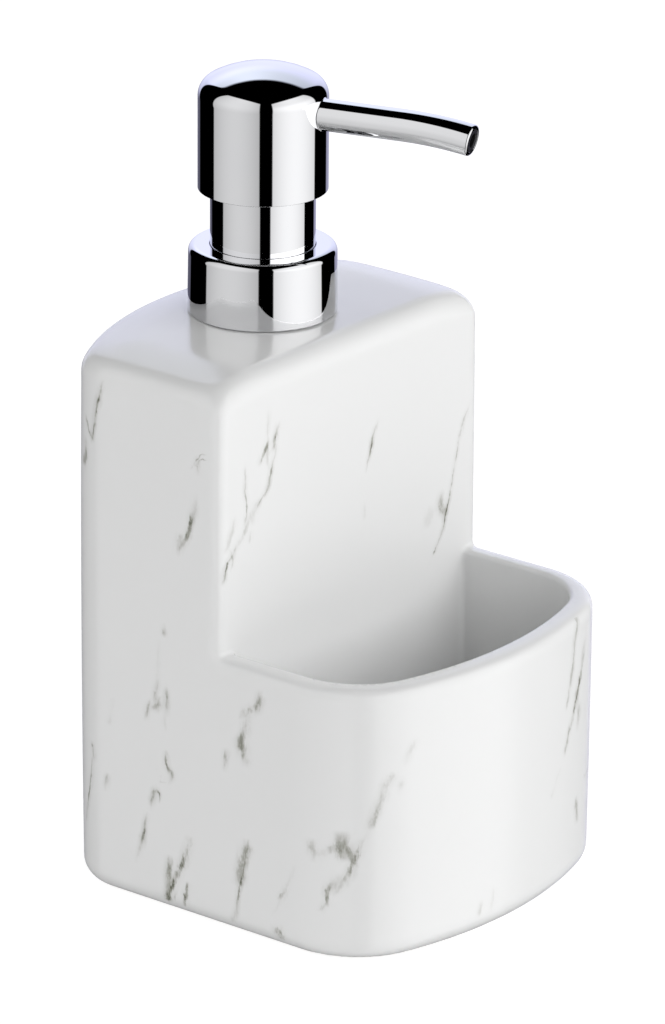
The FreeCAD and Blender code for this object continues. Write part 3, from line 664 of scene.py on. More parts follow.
ROUND_VEINS = (
    (0.38, "-116.4 122.2 .5 -117.5 118.1 .95 -118.3 114.1 .6 -119 110.6 .6 -119.5 108.8 .3"),
    (0.25, "-122.1 113 .5 -121.1 110.7 .75 -119.5 109.1 .5"),
    (0.80, "-122.5 107.4 .3 -122.3 104.6 .6 -123.4 102.1 .5"),
    (0.30, "-89.4 110.1 .5 -88.6 111 .8 -88.4 109.9 .85 -88.3 108.5 .3"),
    (0.50, "-89 102.7 .12 -89.2 99.6 .35 -90.2 97.2 1 -90.7 94.5 .95 -92 91.6 .6 -93.2 89.6 .45"),
    (0.60, "-93.2 92 .35 -93.7 90 .35 -93.8 88.3 .2"),
    (0.45, "-98 68.7 .5 -98 67.7 .75"),
    (0.40, "-99.4 65.5 .05 -99.7 60.1 .1 -100.1 55.7 .14"),
    (0.45, "-100.1 55.4 .3 -100.6 53.6 .65 -100.8 51.6 .5"),
    (0.50, "-99.5 51 .6 -100 49.9 .8 -101.2 48.9 .45"),
    (0.42, "-102.3 49.8 .7 -102.8 48.5 .85 -103.3 46.6 .35"),
    (0.45, "-97.1 54.5 .4 -97.2 52.1 .6 -97.2 49.4 .35"),
    (0.40, "-97.6 48.4 .1 -97.8 45.4 .15"),
    (0.45, "-113.1 47.5 .12 -114 42.6 .2"),
    (0.40, "-119.8 35.1 .8 -119.3 32.8 .5"),
    (0.35, "-119.8 32.1 .3 -120.4 28.2 .5 -121.1 24.6 .7 -122.4 19.6 .6 -123.4 15.3 .4"),
    (0.40, "-115 28.9 .5 -115.4 26.4 .2"),
    (0.40, "-97.5 38.9 .6 -97.4 36.5 1 -96.7 35.1 .7"),
    (0.30, "-96.4 35.3 .5 -95.3 35 .8 -95.5 34.1 .7 -96.2 33.1 .6"),
    (0.30, "-101.2 28.8 .5 -100.2 29.6 .5 -99.5 28.9 .85 -99.6 27.4 .45"),
    (0.35, "-101.1 29 .5 -101.5 27.1 .75 -101.9 25.5 .4"),
    (0.35, "-103.4 22.2 .25 -103.8 19.7 .6 -104.3 16.8 .9 -104.8 15.2 .4"),
    (0.35, "-105.1 14.9 .35 -105.7 13.2 .45 -106.3 11.4 .2"),
    (0.70, "-90.5 19.4 .5 -92 15.5 .8 -93.5 12.2 1 -95.1 8.8 1 -96.5 5.7 1 -97.9 3.2 .9"),
    (0.75, "-96.5 13.5 .4 -96.7 11.3 .85 -97 7.3 .6 -97.7 3.5 .6"),
    (0.45, "-91.5 8.5 .65 -91.9 6.2 .9 -92.5 3.5 .8"),
    (0.35, "-94.9 5.1 .5 -95.2 4 .4"),
    (0.75, "-70.2 59.8 .5 -71 57.4 .8 -72.6 56.2 .7 -74.3 55.1 .65 -75.3 53.9 .3"),
    (0.90, "-73.8 54.3 .4 -74.5 51.5 .6 -75.4 48.6 .7 -75.9 46.6 .5"),
    (1.10, "-75.8 48.5 .5 -75.1 45.8 .85 -74.7 44.2 .7 -74.4 42.6 .15"),
    (0.50, "-80 44 .4 -80.4 42.2 .65 -80.7 40.5 .5"),
    (0.30, "-73.6 23.5 .4 -74.4 19.1 .55 -75.4 15.2 .85 -76.3 11.8 .85 -76.7 8.7 .55 -77.1 4.9 .25"),
    (1.20, "-74.1 22.8 .5 -75 19.5 .7 -75.8 15.8 .6 -76.1 13.3 .3"),
    (0.30, "-77.5 5.8 .15 -78.3 3.2 .3"),
    (0.90, "-55.9 28.9 .35 -55.7 27 .6 -55.6 25.1 .3"),
    (1.00, "-55.4 26.1 .15 -52.5 26.7 .2 -50.2 28.1 .35"),
    (1.70, "-49 31.6 .25 -48.8 28.9 .65 -48.5 27.5 .65 -47.6 26.1 .4"),
    (0.60, "-44.3 29.6 .45 -45.3 26.7 .9 -46.2 25 .7 -47.1 22 .7 -48.7 19.5 .45 -50 17.5 .2"),
    (0.60, "-47.7 28.5 .4 -46.8 26.4 .5 -46.1 24.7 .5"),
    (0.50, "-51.5 18.7 .5 -52.2 16.7 .95 -51.9 14.3 .5"),
    (0.45, "-52.1 14.5 .4 -53.3 12.9 .45"),
    (0.90, "-49.1 21.4 .12 -50.6 19.1 .28 -51.4 18 .3"),
    (0.70, "-37.7 45.4 .35 -39.1 42.9 .4 -40.3 39.5 .45 -41.2 36.6 .6 -42.1 33.6 .35"),
    (0.50, "-31.9 52.3 .12 -33.6 49.8 .2 -34.3 48 .1"),
    (0.50, "-35.5 43.2 .25 -35.5 42 .3"),
    (0.50, "-42.4 32.9 .12 -44.1 29.6 .18"),
    (0.40, "-60.5 21 .08 -62.4 16.3 .15 -63.3 14.6 .6 -64.3 12.9 .5"),
    (0.35, "-64.5 11.6 .12 -66.1 8.7 .12"),
    (0.80, "-66 4.6 .5 -64.6 4.5 .8 -64.2 2.9 .9"),
    (0.60, "26.4 64.4 .5 24.2 59.4 .5 23.7 53.8 .45 22 49 .5 20.8 45.3 .35"),
    (0.60, "30.6 57.6 .25 29.2 52.3 .6 27.3 47.6 .8 25.7 44 .8 22.8 39 .65 20.4 34.2 .4"),
    (0.80, "26.1 46.8 .4 27.8 41.5 .55 27.3 37.8 .2"),
    (0.40, "17.9 30.7 .12 14.5 25.6 .15"),
    (0.50, "32.6 23.7 .25 37.1 24.3 .2"),
    (0.80, "27.3 20.1 .4 27.7 17.7 .75 28.5 14.9 .4"),
    (0.50, "-7.8 10.3 .12 -8.4 6.3 .2"),
    (0.50, "-11.8 7.8 .15 -12.5 5.6 .4"),
)


def strokes_of(veins):
    """Each stroke as its half width and an array of (distance round, height, darkness)."""
    return [(width, np.array(text.split(), float).reshape(-1, 3)) for width, text in veins]


wall_strokes, round_strokes = strokes_of(WALL_VEINS), strokes_of(ROUND_VEINS)
print(len(wall_strokes), "strokes on the flat wall and", len(round_strokes), "round the outside")

# %% [markdown]
# To find a vertex on the unrolled paper, its bearing from the middle is turned into a distance round the
# outline. The outline has no short formula for that, so it is found by halving: at many bearings the way out
# is halved until it ends on the outline, and the steps from spot to spot are added up.

# %% Unroll the walls
ANGLES = np.linspace(-math.pi, math.pi, 2401)
NEAREST, FARTHEST, SPLITS = 20.0, 90.0, 40
WALL_DEPTH, WALL_FACING = 1.2, -0.6
ROUND_DEPTH, ROUND_FACING = -2.5, 0.75


def outline_run():
    """Distance round the outline at each bearing from the front."""
    inner, outer = np.full(len(ANGLES), NEAREST), np.full(len(ANGLES), FARTHEST)
    for _ in range(SPLITS):
        middle = (inner + outer) / 2
        outside = plan(np.sin(ANGLES) * middle, -np.cos(ANGLES) * middle, BODY) > 0
        outer = np.where(outside, middle, outer)
        inner = np.where(outside, inner, middle)
    spots = np.stack([np.sin(ANGLES) * inner, -np.cos(ANGLES) * inner], axis=1)
    run = np.concatenate([[0], np.cumsum(np.linalg.norm(np.diff(spots, axis=0), axis=1))])
    return run - run[-1] / 2


RUN = outline_run()
px, py, pz = skin_points.T
on_wall = (np.abs(py - BODY.wall_y) < WALL_DEPTH) & (np.abs(px) < BODY.half_width)
on_wall &= skin_normals[:, 1] < WALL_FACING
on_round = (plan(px, py, BODY) > ROUND_DEPTH) & ~on_wall & (skin_normals[:, 2] < ROUND_FACING)
wall_place = np.stack([px, pz], axis=1)
round_place = np.stack([np.interp(np.arctan2(px, -py), ANGLES, RUN), pz], axis=1)
print("Outline is %.1f mm round; %d vertices on the flat wall" % (RUN[-1] - RUN[0], on_wall.sum()))

# %% [markdown]
# The right wall and the back face away from the camera, and a caddy that is turned round must not be bare
# there. Their veins could be painted stroke by stroke too, but chance is quicker: it draws them in the manner
# of the others, as leaning strokes of a few points with one short side vein each. The seed is fixed, so every
# run gives the same veins.

# %% More strokes for the sides that face away
UNSEEN_SEED = 11
UNSEEN_RUNS = ((48, 84), (92, 122), (128, 158), (160, 186), (188, 214))
BROOD, POINTS = 4, (3, 6)
TRAY_END, TRAY_TOP, BACK_TOP, LEAST_TOP = 86, 58, 116, 18
DROP, LEAN, SWAY, FOOT = (8, 26), (-0.35, -0.08), 0.7, 3.0
DARK, WIDTH = (0.2, 0.75), (0.3, 0.55)
FORK_SET, FORK_SWAY, FORK_DROP, FORK_FOOT = 0.4, (-2, 2), (2.5, 6), 2.5
FORK_DARK, FORK_WIDTH = (0.5, 0.3), (0.4, 1.1)
TOO_LONG = 60


def unseen_strokes():
    """Leaning veins with a side vein each, round the right wall and the back."""
    draw = np.random.RandomState(UNSEEN_SEED)
    made = []
    for first, last in UNSEEN_RUNS:
        most_top = TRAY_TOP if last < TRAY_END else BACK_TOP
        for _ in range(BROOD):
            run, top = draw.uniform(first, last), draw.uniform(LEAST_TOP, most_top)
            drop = draw.uniform(*DROP)
            count = draw.randint(*POINTS)
            share = np.linspace(0, 1, count)
            lean = draw.uniform(*LEAN)
            heights = np.maximum(top - drop * share, FOOT)
            runs = run + lean * drop * share + draw.normal(0, SWAY, count)
            darks = draw.uniform(*DARK, count) * np.sin(math.pi * (0.15 + 0.7 * share))
            made.append((draw.uniform(*WIDTH), np.stack([runs, heights, darks], axis=1)))
            pick = draw.randint(1, count)
            fork_foot = max(heights[pick] - draw.uniform(*FORK_DROP), FORK_FOOT)
            fork_end = runs[pick] + draw.uniform(*FORK_SWAY)
            fork = np.array([
                (runs[pick] + FORK_SET, heights[pick], FORK_DARK[0]),
                (fork_end, fork_foot, FORK_DARK[1]),
            ])
            made.append((draw.uniform(*FORK_WIDTH), fork))
    return made


unseen = unseen_strokes()
for _, stroke in unseen:
    stroke[:, 0] -= np.where(stroke[:, 0] > RUN[-1], RUN[-1] - RUN[0], 0.0)
round_strokes += [one for one in unseen if np.ptp(one[1][:, 0]) < TOO_LONG]
print("Now", len(round_strokes), "strokes round the outside")

# %% [markdown]
# A vertex needs its distance to a stroke and the side on which it lies, above nought on one side and below on
# the other. A plain distance would do at the vertex itself, but the line often runs between two vertices, and
# only a distance that changes its sign there is nought in the right place. Past the ends the darkness fades.

# %% Distance to one stroke
NOWHERE, END_FADE = 1e9, 0.9


def side_of(place, stroke):
    """Distance to a stroke's line, the same with its side's sign, and the darkness there."""
    best = np.full(len(place), NOWHERE)
    side, dark = np.zeros(len(place)), np.zeros(len(place))
    last = len(stroke) - 2
    for number, (a, b) in enumerate(zip(stroke[:-1], stroke[1:])):
        along = b[:2] - a[:2]
        length = np.linalg.norm(along)
        along = along / length
        from_a = place - a[:2]
        run = from_a @ along
        off = from_a[:, 0] * along[1] - from_a[:, 1] * along[0]
        kept = np.clip(run, 0, length)
        distance = np.hypot(run - kept, off)
        nearer = distance < best
        best = np.where(nearer, distance, best)
        beside = np.where(off < 0, -1.0, 1.0) * distance
        beyond = ((run < 0) & (number == 0)) | ((run > length) & (number == last))
        side = np.where(nearer, np.where(beyond, off, beside), side)
        fade = np.clip(1 - np.abs(run - kept) / END_FADE, 0, 1)
        level = a[2] + (b[2] - a[2]) * kept / length
        dark = np.where(nearer, level * np.where(beyond, fade, 1.0), dark)
    return best, side, dark


trial = side_of(np.array([[1.0, 5.0]]), np.array([[0.0, 0.0, 0.5], [0.0, 10.0, 0.5]]))
print("A point 1 mm beside a stroke: %.1f mm from it, darkness %.1f" % (trial[0][0], trial[2][0]))

# %% [markdown]
# Where strokes come close or cross, one stored distance isn't enough. So the strokes are dealt out over
# layers, like sheets of tracing paper, on which they keep apart, and each layer becomes one attribute of the
# mesh. A painted picture would need far more room than three numbers on each vertex.

# %% Store the nearest stroke of each layer
VEIN_REACH, VEIN_FADE, PLAIN_WIDTH = 3.0, 1.2, 0.3
KEEP_APART, SPOTS_PER_LEG, BOX_MARGIN = 6.2, 6, 9.0


def spots_along(stroke):
    """Points along a stroke, close together."""
    shares = np.linspace(0, 1, SPOTS_PER_LEG)
    spots = [a + (b - a) * share for a, b in zip(stroke[:-1], stroke[1:]) for share in shares]
    return np.array(spots)[:, :2]


def gap_between(spots, others):
    return np.min(np.hypot(*(spots[:, None] - others[None]).transpose(2, 0, 1)))


def layers_of(strokes):
    """Spread the strokes over layers, so that strokes of one layer keep apart."""
    layers = []
    for width, stroke in strokes:
        spots = spots_along(stroke)
        for layer in layers:
            if min(gap_between(spots, others) for _, _, others in layer) > KEEP_APART:
                layer.append((width, stroke, spots))
                break
        else:
            layers.append([(width, stroke, spots)])
    return layers


def near_box(place, spots):
    """Which places lie in or near the box round a stroke."""
    middle = (spots.max(axis=0) + spots.min(axis=0)) / 2
    return (np.abs(place - middle) < np.ptp(spots, axis=0) / 2 + BOX_MARGIN).all(axis=1)


wall_layers, round_layers = layers_of(wall_strokes), layers_of(round_strokes)
LAYERS = max(len(wall_layers), len(round_layers))
for number in range(LAYERS):
    stored = np.zeros((len(skin_points), 3))
    stored[:, 0], stored[:, 1] = VEIN_REACH, PLAIN_WIDTH
    nearest = np.full(len(skin_points), NOWHERE)
    for layers, mask, place in ((wall_layers, on_wall, wall_place), (round_layers, on_round, round_place)):
        for width, stroke, spots in layers[number] if number < len(layers) else []:
            where = np.flatnonzero(mask & near_box(place, spots))
            best, side, dark = side_of(place[where], stroke)
            dark = dark * np.clip((VEIN_REACH - best) / VEIN_FADE, 0, 1)
            closer = best < nearest[where]
            where, best, side, dark = where[closer], best[closer], side[closer], dark[closer]
            nearest[where] = best
            stored[where] = np.stack([side, np.full(len(where), width), dark], axis=1)
    layer = body.data.attributes.new("vein_%d" % number, "FLOAT_VECTOR", "POINT")
    layer.data.foreach_set("vector", stored.astype(np.float32).ravel())
print("Veins stored in", LAYERS, "layers")

# %% [markdown]
# The glaze is white, hard and very smooth, with the veins under it. A picture could be wrapped round it, but
# the stored strokes need none: each layer's side distance is shaken by fine noise, so that a line frays, and
# compared with the stroke's width. Patches and specks break the line up, and a faint halo lies round it. The
# foot stays unglazed, as the piece must stand in the kiln.

# %% Marbled glaze
GLAZE_WHITE = (0.865, 0.868, 0.866, 1)
VEIN_STOPS = (
    (0.0, GLAZE_WHITE),
    (0.22, (0.69, 0.69, 0.675, 1)),
    (0.55, (0.40, 0.40, 0.36, 1)),
    (1.0, (0.12, 0.125, 0.085, 1)),
)
GLAZE_CLOUD, BARE_CLAY = (0.80, 0.81, 0.83, 1), (0.78, 0.75, 0.70, 1)
CLOUD_SHARE, FOOT_HEIGHTS = 0.05, (0.0002, 0.0011)
GLAZE_IOR, GLAZE_ROUGH, CLOUD_ROUGH, CLAY_ROUGH = 1.52, 0.17, 0.05, 0.6
FRAY, LINE_INK, SPECK_INK, HALO_INK, DARK_POWER = 1.5, 0.66, 0.55, 0.26, 1.15


def principled(start, inputs):
    """End a material in one Principled shader."""
    shader = start.node("ShaderNodeBsdfPrincipled", inputs=inputs)
    start.node("ShaderNodeOutputMaterial", inputs={"Surface": shader})


def grain(place, scale, detail=2.0, rough=0.5):
    """Fine noise from 0 to 1."""
    return place.node("ShaderNodeTexNoise", inputs={
        "Vector": place, "Scale": scale, "Detail": detail, "Roughness": rough})


pen = fresh_nodes(glaze)
place = pen.node("ShaderNodeTexCoord", output="Object")
upright = pen.node("ShaderNodeMapping", inputs={"Vector": place, "Scale": (1.0, 1.0, 0.45)})
wander = grain(upright, 620.0, 4.0, 0.62) - 0.5
fibre = grain(upright, 1700.0, 3.0, 0.7)
patch = grain(upright, 330.0, 3.0, 0.6).smooth(0.36, 0.64)
smudge = grain(upright, 210.0, 3.0, 0.6).smooth(0.4, 0.68)
speck = grain(upright, 1100.0, 2.0, 0.6).smooth(0.42, 0.62)


def ink_of(layer):
    """How dark the veins of one layer are."""
    stored = pen.node("ShaderNodeAttribute", {"attribute_name": "vein_%d" % layer}, output="Vector")
    side, width, dark = stored.split()
    frayed = abs(side + wander * (FRAY + width))
    line = 1 - (frayed / (width * (0.35 + 1.2 * fibre))).smooth(0.2, 1.5)
    halo = 1 - (frayed / (width * 2.6 + 0.7)).smooth(0.0, 1.0)
    ink = dark ** DARK_POWER * (LINE_INK * line * (0.15 + 0.85 * patch) + SPECK_INK * line * speck * dark)
    return (ink + dark * halo * (0.08 + HALO_INK * smudge)).clamped()


clear = 1 - ink_of(0)
for number in range(1, LAYERS):
    clear = clear * (1 - ink_of(number))
veined = pen.node("ShaderNodeValToRGB", {"stops": VEIN_STOPS}, {"Fac": 1 - clear})
cloud = grain(place, 35.0, 3.0)
shade = (cloud * CLOUD_SHARE).clamped().blend(veined, GLAZE_CLOUD)
bare = 1 - place.split()[2].smooth(*FOOT_HEIGHTS)
ripple = grain(place, 45.0)
bump = pen.node("ShaderNodeBump", inputs={"Strength": 0.002, "Distance": 0.002, "Height": ripple})
principled(pen, {
    "Base Color": bare.blend(shade, BARE_CLAY),
    "Roughness": GLAZE_ROUGH + CLOUD_ROUGH * cloud + CLAY_ROUGH * bare,
    "IOR": GLAZE_IOR,
    "Normal": bump,
})
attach(body, "caddy")
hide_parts("ceramic_body")
print("Glaze with", len(glaze.node_tree.nodes), "nodes")

# %% [markdown]
# The pump's outside is chromed and turned, so each piece is one outline spun about an axis. Blender's Spin or
# Screw would do, but the gloss shows every error in a smoothed normal, so the outline here carries its own
# normals: arcs and the straight runs between them know exactly which way they face.

# %% Outlines of arcs
ARC_STEP, SAME_SPOT = 5, 1e-3


def outline_of(*arcs):
    """Points and outward normals of a closed row of arcs, joined by straight runs.

    An arc is its centre's distance from the axis and height, its radius, which is below nought where the arc
    is hollow, and the angles at which it starts and ends.
    """
    points, normals = [], []
    for r, z, radius, first_angle, last_angle in arcs:
        count = max(3, int(abs(last_angle - first_angle) / ARC_STEP) + 2)
        for angle in np.radians(np.linspace(first_angle, last_angle, count)):
            out = np.array([math.cos(angle), math.sin(angle)])
            spot = np.array([r, z]) + abs(radius) * out
            if points and np.linalg.norm(spot - points[-1]) < SAME_SPOT:
                continue
            points.append(spot)
            normals.append(out * math.copysign(1.0, radius))
    return np.array(points), np.array(normals)


def ring_outline(outer, inner, low_end, high_end, low_edge, high_edge):
    """Outline of a plain ring with rounded edges."""
    return outline_of(
        (outer - high_edge, high_end - high_edge, high_edge, 90, 0),
        (outer - low_edge, low_end + low_edge, low_edge, 0, -90),
        (inner + low_edge, low_end + low_edge, low_edge, -90, -180),
        (inner + high_edge, high_end - high_edge, high_edge, 180, 90),
    )


def subdivided(points, normals, longest):
    """The same closed outline, with long runs cut into shorter ones."""
    new_points, new_normals = [], []
    for number in range(len(points)):
        after = (number + 1) % len(points)
        leg = points[after] - points[number]
        pieces = max(1, int(np.linalg.norm(leg) / longest))
        for share in np.arange(pieces) / pieces:
            way = normals[number] * (1 - share) + normals[after] * share
            new_points.append(points[number] + leg * share)
            new_normals.append(way / np.linalg.norm(way))
    return np.array(new_points), np.array(new_normals)


print("A plain ring's outline has", len(ring_outline(2.0, 1.0, 0.0, 1.0, 0.1, 0.1)[0]), "points")

# %% [markdown]
# Spinning an outline joins rings of vertices, each to the next and the last to the first, so the piece is
# closed. A ring on the axis is a single vertex, as at the middle of a dome. Where a ring lies is left to a
# second function: one stands rings round the pump's upright axis, and another, further down, round the bent
# spout.

# %% Spin an outline
SPINS, FACING_STEP, ON_AXIS = 192, 97, 1e-6
PUMP_X, PUMP_Y = 0.0, BODY.pump_y


def about_pump(around, r, z, nr, nz):
    """A ring about the pump's upright axis."""
    c, s = np.cos(around), np.sin(around)
    spots = np.stack([PUMP_X + r * c, PUMP_Y + r * s, np.full(len(around), z)], axis=1)
    ways = np.stack([nr * c, nr * s, np.full(len(around), nz)], axis=1)
    return spots, ways


def faces_between(a, b):
    """Faces from one ring to the next."""
    if len(a) == 1 and len(b) == 1:
        return
    for step in range(SPINS):
        after = (step + 1) % SPINS
        if len(a) == 1:
            yield a[0], b[step], b[after]
        elif len(b) == 1:
            yield a[step], b[0], a[after]
        else:
            yield a[step], b[step], b[after], a[after]


def spun(name, outline, longest, place_ring):
    """Spin an outline; place_ring gives the places and normals of one ring of vertices."""
    around = np.linspace(0, 2 * math.pi, SPINS, endpoint=False)
    vertices, normals, rings = [], [], []
    for (r, z), (nr, nz) in zip(*subdivided(*outline, longest)):
        if r < ON_AXIS:
            spots, ways = place_ring(np.zeros(1), 0.0, z, 0.0, math.copysign(1.0, nz))
        else:
            spots, ways = place_ring(around, r, z, nr, nz)
        rings.append(range(len(vertices), len(vertices) + len(spots)))
        vertices.extend(spots.tolist())
        normals.extend(ways.tolist())
    faces = [face for a, b in zip(rings, rings[1:] + rings[:1]) for face in faces_between(a, b)]
    mesh = bpy.data.meshes.new(name)
    mesh.from_pydata((np.array(vertices) * MM).tolist(), [], faces)
    mesh.update()
    samples = [mesh.polygons[number] for number in range(0, len(faces), FACING_STEP)]
    if sum(face.normal.dot(Vector(normals[face.vertices[0]])) for face in samples) < 0:
        mesh.flip_normals()
    mesh.polygons.foreach_set("use_smooth", [True] * len(faces))
    mesh.normals_split_custom_set_from_vertices(normals)
    return put_in_scene(name, mesh)


print("Turned pieces are spun in", SPINS, "steps")

# %% [markdown]
# Chrome plate is a thin, hard mirror with a cool tone. One even gloss would do from afar, but fingers and
# cleaning leave a breath of haze on the real thing, so a slow noise moves its gloss and its tone a little.

# %% Chrome
CHROME_COOL, CHROME_PALE = (0.645, 0.65, 0.665, 1), (0.67, 0.67, 0.68, 1)
CHROME_ROUGH, HAZE_ROUGH = 0.018, 0.022

chrome = bpy.data.materials.new("polished_chrome")
pen = fresh_nodes(chrome)
haze = grain(pen.node("ShaderNodeTexCoord", output="Object"), 160.0, 3.0, 0.6)
principled(pen, {
    "Base Color": haze.blend(CHROME_COOL, CHROME_PALE),
    "Metallic": 1.0,
    "Roughness": CHROME_ROUGH + HAZE_ROUGH * haze,
})
print("Chrome with", len(chrome.node_tree.nodes), "nodes")

# %% [markdown]
# The head is a thin cap with a domed top, the sleeve is the ring below it in which the head slides, and the
# collar is the cap that a hand turns to unscrew the pump. On the real pump they are drawn from sheet metal,
# so each has the same wall all round and small rolled edges. Their heights come from the CAD pieces they
# stand for. A scaled cylinder would be quicker to make, but its sharp edges would catch no light.

# %% Pump head, sleeve and collar
LONGEST_RUN = 1.5
HEAD_LOW, HEAD_TOP = (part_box("head_shell")[k][2] / MM for k in (0, 1))
HEAD_RADIUS, HEAD_WALL, DOME, HEAD_EDGE, HEAD_LIP = 14.7, 1.0, 26.0, 4.7, 0.15
edge_r, dome_z = HEAD_RADIUS - HEAD_EDGE, HEAD_TOP - DOME
edge_z = dome_z + math.sqrt((DOME - HEAD_EDGE) ** 2 - edge_r ** 2)
tilt = math.degrees(math.atan2(edge_z - dome_z, edge_r))
head_outline = outline_of(
    (0, dome_z, DOME, 90, tilt),
    (edge_r, edge_z, HEAD_EDGE, tilt, 0),
    (HEAD_RADIUS - HEAD_LIP, HEAD_LOW + HEAD_LIP, HEAD_LIP, 0, -90),
    (HEAD_RADIUS - HEAD_WALL + HEAD_LIP, HEAD_LOW + HEAD_LIP, HEAD_LIP, -90, -180),
    (edge_r, edge_z, -(HEAD_EDGE - HEAD_WALL), 0, tilt),
    (0, dome_z, -(DOME - HEAD_WALL), tilt, 90),
)
head = spun("pump_head_dome", head_outline, LONGEST_RUN, about_pump)

SLEEVE_LOW, SLEEVE_TOP = (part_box("guide_sleeve")[k][2] / MM for k in (0, 1))
SLEEVE_RADIUS, SLEEVE_WALL, SLEEVE_EDGE = 11.9, 0.8, 0.2
sleeve_outline = ring_outline(
    SLEEVE_RADIUS, SLEEVE_RADIUS - SLEEVE_WALL, SLEEVE_LOW, SLEEVE_TOP, SLEEVE_EDGE, SLEEVE_EDGE)
sleeve = spun("pump_sleeve", sleeve_outline, LONGEST_RUN, about_pump)

COLLAR_LOW, COLLAR_TOP = (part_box("collar_cover")[k][2] / MM for k in (0, 1))
COLLAR_RADIUS, COLLAR_TAPER, COLLAR_WALL, COLLAR_HOLE = 17.0, 0.2, 1.0, 11.97
COLLAR_EDGE, COLLAR_LIP, COLLAR_INSIDE = 1.75, 0.25, 0.5
collar_bore, collar_roof = COLLAR_RADIUS - COLLAR_WALL, COLLAR_TOP - COLLAR_WALL
lean = math.degrees(math.atan2(COLLAR_TAPER, COLLAR_TOP - COLLAR_LOW))
collar_outline = outline_of(
    (COLLAR_RADIUS - COLLAR_TAPER - COLLAR_EDGE, COLLAR_TOP - COLLAR_EDGE, COLLAR_EDGE, 90, lean),
    (COLLAR_RADIUS - COLLAR_LIP, COLLAR_LOW + COLLAR_LIP, COLLAR_LIP, lean, -90),
    (collar_bore + COLLAR_LIP, COLLAR_LOW + COLLAR_LIP, COLLAR_LIP, -90, -180),
    (collar_bore - COLLAR_INSIDE, collar_roof - COLLAR_INSIDE, -COLLAR_INSIDE, 0, 90),
    (COLLAR_HOLE + COLLAR_LIP, collar_roof + COLLAR_LIP, COLLAR_LIP, -90, -180),
    (COLLAR_HOLE + COLLAR_LIP, COLLAR_TOP - COLLAR_LIP, COLLAR_LIP, 180, 90),
)
collar = spun("screw_collar", collar_outline, LONGEST_RUN, about_pump)

for piece, node, body_name in ((head, "head_shell", "head"), (sleeve, "guide_sleeve", "pump"),
                               (collar, "collar_cover", "collar")):
    piece.data.materials.append(chrome)
    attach(piece, body_name)
    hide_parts(node)
print("Turned the head, the sleeve and the collar")

# %% [markdown]
# The spout is a straight tube that droops near its end. A curve with a round bevel would make the tube, but
# not its rolled lip, its bore and the small fillet where it is brazed to the head. So it is spun like the
# other pieces, about a line that bends: the height in its outline is the distance along that line. Near the
# head its rings are pulled back to the head's round side, so that the fillet fits.

# %% The spout's line
SPOUT_Z = 177.4
SPOUT_TURN, SPOUT_DROOP = math.radians(15.5), math.radians(9.7)
SPOUT_STRAIGHT, SPOUT_BEND = 33.7, 100.0
SPOUT_END = SPOUT_STRAIGHT + SPOUT_BEND * SPOUT_DROOP
FLARE = 0.5
HUG_END, HUG_RUN = HEAD_RADIUS + 2.2 * FLARE, 1.2 * FLARE
MOST_ASIDE = 150.0
TINY = 1e-3
spout_out = np.array([math.sin(SPOUT_TURN), -math.cos(SPOUT_TURN), 0.0])
spout_side = np.array([math.cos(SPOUT_TURN), math.sin(SPOUT_TURN), 0.0])
UP = np.array([0.0, 0.0, 1.0])


def head_reach(z, aside):
    """How far out the head's side is at a height, to one side of the spout's line."""
    over = np.clip(z - edge_z, 0.0, HEAD_EDGE)
    radius = edge_r + np.sqrt(HEAD_EDGE ** 2 - over ** 2)
    return np.sqrt(radius ** 2 - np.minimum(aside ** 2, MOST_ASIDE))


def spout_spot(around, r, run):
    """A place at a turn about the spout's line, a distance from it and a distance along it."""
    bend = max(0.0, run - SPOUT_STRAIGHT) / SPOUT_BEND
    middle = np.array([PUMP_X, PUMP_Y, SPOUT_Z]) + spout_out * min(run, SPOUT_STRAIGHT)
    middle = middle + SPOUT_BEND * (math.sin(bend) * spout_out - (1 - math.cos(bend)) * UP)
    forward = math.cos(bend) * spout_out - math.sin(bend) * UP
    over = math.sin(bend) * spout_out + math.cos(bend) * UP
    c, s = np.cos(around)[:, None], np.sin(around)[:, None]
    hug = HEAD_RADIUS - head_reach(SPOUT_Z + s * r, c * r)
    near_head = min(1.0, max(0.0, (HUG_END - run) / HUG_RUN))
    return middle + (c * spout_side + s * over) * r - forward * hug * near_head


def about_spout(around, r, run, nr, nrun):
    """A ring about the spout's line, with the normals of the bent surface."""
    turned = spout_spot(around + TINY, r, run) - spout_spot(around - TINY, r, run)
    slid = (spout_spot(around, r - TINY * nrun, run + TINY * nr)
            - spout_spot(around, r + TINY * nrun, run - TINY * nr))
    ways = np.cross(turned, slid)
    ways /= np.linalg.norm(ways, axis=1)[:, None]
    return spout_spot(around, r, run), ways


print("Spout is %.1f mm long on its line" % SPOUT_END)

# %% [markdown]
# Inside the chromed tube runs a dark plastic lining, which shows as a black ring in the mouth. A disc of
# black would look alike from one side, but a real tube with a bore also looks right from below, and soap
# could flow through it.

